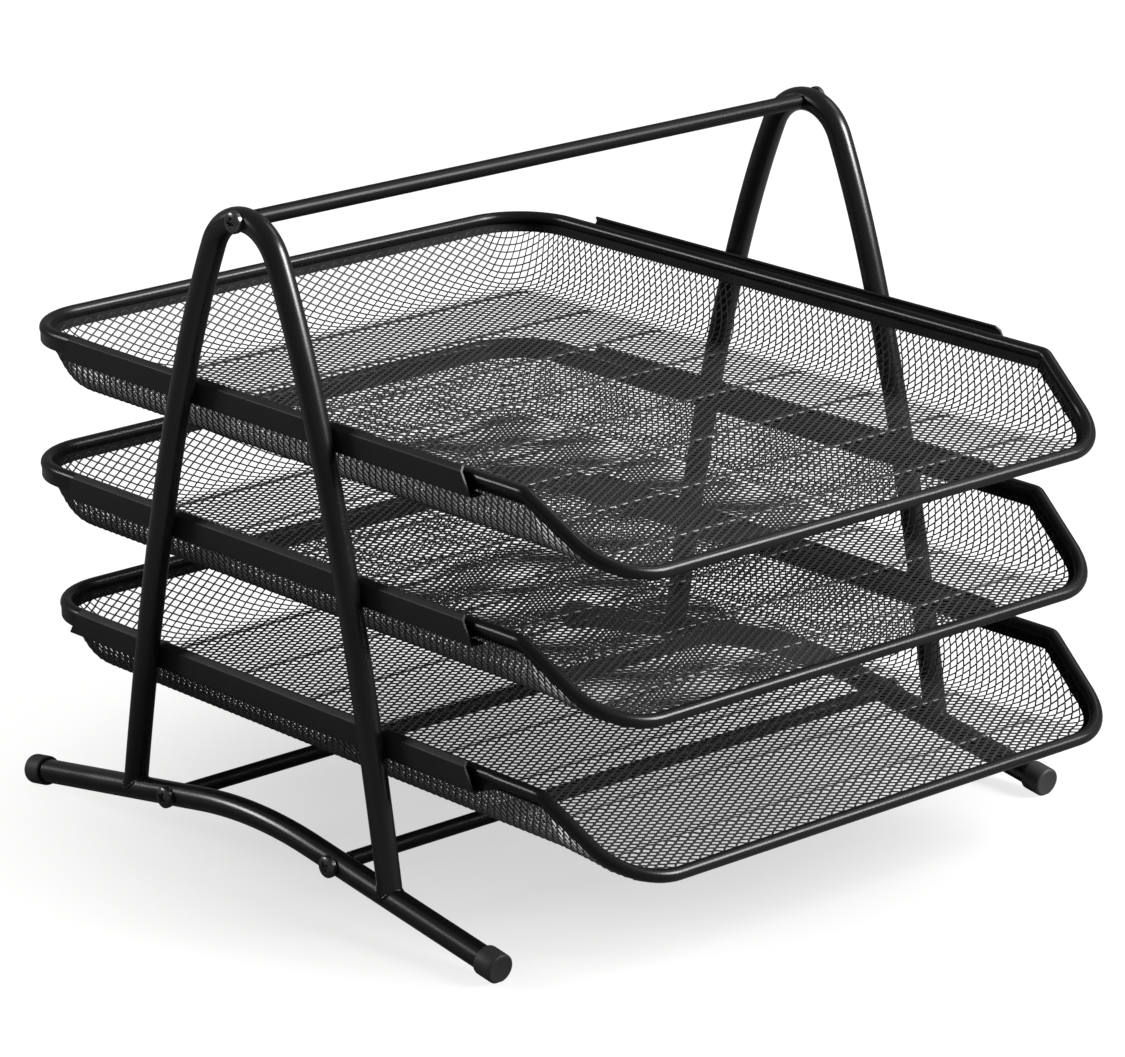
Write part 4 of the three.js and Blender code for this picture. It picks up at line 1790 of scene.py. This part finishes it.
@dataclass
class Studio(Assembly):
    """The camera, the pale floor and the soft lamps.

    Attributes:
        azimuth: the camera's bearing, in degrees; 0 looks along +Y.
        elevation: its height over the horizon, in degrees.
        roll: its roll, in degrees.
        distance: from the camera to the target, in millimetres.
        target: the point at the picture's middle, in drawing millimetres.
        focal: focal length in pixels of the photograph's width.
        sensor: width of the camera's sensor, in millimetres.
        floor_half: half the floor's side, in metres.
        floor_drop: how far it lies below the feet, in millimetres.
        floor_grey: how much light it throws back.
        floor_glow_and_painted_shadow: what it glows with to the camera, under the object, where the
            dimmer glow is a painted shadow, and far from it.
        painted_shadow_fade: distances where that glow starts and ends its rise out of the painted
            shadow, in metres.
        fill: strength of the light from all round.
    """

    azimuth: float = -41.493
    elevation: float = 17.741
    roll: float = -0.3
    distance: float = 2060.98
    target: tuple[float, float, float] = (29.771, 21.25, 94.325)
    focal: float = 5322.82
    sensor: float = 36.0
    floor_half: float = 6.0
    floor_drop: float = 0.2
    floor_grey: float = 0.22
    floor_glow_and_painted_shadow: tuple[float, float] = (0.6, 0.92)
    painted_shadow_fade: tuple[float, float] = (0.08, 0.24)
    fill: float = 0.16

    def camera(self) -> None:
        """Sets up the camera at the photograph's angle."""
        az, el = math.radians(self.azimuth), math.radians(self.elevation)
        back = Vector((math.sin(az) * math.cos(el), -math.cos(az) * math.cos(el), math.sin(el)))
        aim = Vector(self.datum.place(np.array(self.target)))
        data = bpy.data.cameras.new("photo_camera")
        data.sensor_fit = "HORIZONTAL"
        data.sensor_width = self.sensor
        data.lens = self.focal * self.sensor / PHOTO_WIDTH
        data.clip_end = 50.0
        camera = link("photo_camera", data)
        camera.matrix_world = looking(aim + back * self.distance * MM, aim) @ Matrix.Rotation(
            math.radians(self.roll), 4, "Z")
        bpy.context.scene.camera = camera

    def floor(self) -> None:
        """Lays a floor that the camera sees nearly white, with a painted shadow that dims it under the
        object.
        """
        material = bpy.data.materials.new("white_floor")
        material.use_nodes = True
        tree = material.node_tree
        rays = add_node(tree, "ShaderNodeLightPath").outputs
        seen = add_node(tree, "ShaderNodeMath", {
            0: rays["Is Camera Ray"], 1: rays["Is Transmission Ray"]}, operation="MAXIMUM")
        place = add_node(tree, "ShaderNodeTexCoord").outputs["Object"]
        reach = add_node(tree, "ShaderNodeVectorMath", {0: place}, operation="LENGTH")
        # painted shadow: the glow that the camera sees is dimmed near the object's middle, standing for its
        # shade on the ground
        (near, far), (dim, bright) = self.painted_shadow_fade, self.floor_glow_and_painted_shadow
        fade = add_node(tree, "ShaderNodeMapRange", {
            "Value": reach.outputs["Value"], "From Min": near, "From Max": far, "To Min": dim,
            "To Max": bright}, interpolation_type="SMOOTHSTEP")
        gain = add_node(tree, "ShaderNodeMath", {
            0: seen.outputs[0], 1: fade.outputs["Result"]}, operation="MULTIPLY")
        feed(tree, tree.nodes["Principled BSDF"], {
            "Base Color": (*[self.floor_grey] * 3, 1.0), "Roughness": 0.9, "Specular IOR Level": 0.1,
            "Emission Color": WHITE, "Emission Strength": gain.outputs[0]})
        corners = self.floor_half * np.array([(-1, -1, 0), (1, -1, 0), (1, 1, 0), (-1, 1, 0)])
        floor = make_mesh("floor", corners, [(0, 1, 2, 3)])
        floor.location.z = -self.floor_drop * MM
        floor.data.materials.append(material)

    def world(self) -> None:
        """Lights the surroundings evenly, and shows them white."""
        world = bpy.data.worlds.new("studio")
        bpy.context.scene.world = world
        world.use_nodes = True
        tree = world.node_tree
        light = tree.nodes["Background"]
        feed(tree, light, {"Color": (1.0, 1.0, 1.0, 1.0), "Strength": self.fill})
        white = add_node(tree, "ShaderNodeBackground", {"Color": WHITE, "Strength": 1.0})
        rays = add_node(tree, "ShaderNodeLightPath")
        mix = add_node(tree, "ShaderNodeMixShader", {
            "Fac": rays.outputs["Is Camera Ray"], 1: light.outputs["Background"],
            2: white.outputs["Background"]})
        feed(tree, tree.nodes["World Output"], {"Surface": mix.outputs["Shader"]})

    def build(self) -> None:
        """Makes the whole studio."""
        self.camera()
        self.floor()
        self.world()
        for lamp in LAMPS:
            lamp.hang()
        bpy.context.scene.view_settings.view_transform = "Standard"


def looking(spot: Vector, aim: Vector) -> Matrix:
    """The pose of a camera or lamp that faces a point.

    Args:
        spot: where it stands.
        aim: what it faces.

    Returns:
        Its matrix.
    """
    return Matrix.Translation(spot) @ (aim - spot).to_track_quat("-Z", "Y").to_matrix().to_4x4()


def main() -> None:
    """Builds the studio and dresses every piece."""
    logging.basicConfig(level=logging.INFO, format="%(message)s")
    datum = Datum.from_frame()
    Studio(datum).build()
    tube, plastic = TUBE_COAT.build(), CAP_PLASTIC.build()
    zinc, sheet = SCREW_ZINC.build(), RAIL_COAT.build()
    sides = [SideFrame(datum, side) for side in Side]
    for side in sides:
        side.build(tube, plastic)
    CrossRods(datum, sides[0]).build(ROD_COAT.build(), zinc)
    Rails(datum).build(sheet)
    Trays(datum).build(RIM_COAT.build(), HEM_COAT.build(), MESH_COAT_PAINTED_LIGHT.build())


if __name__ == "__main__":
    main()
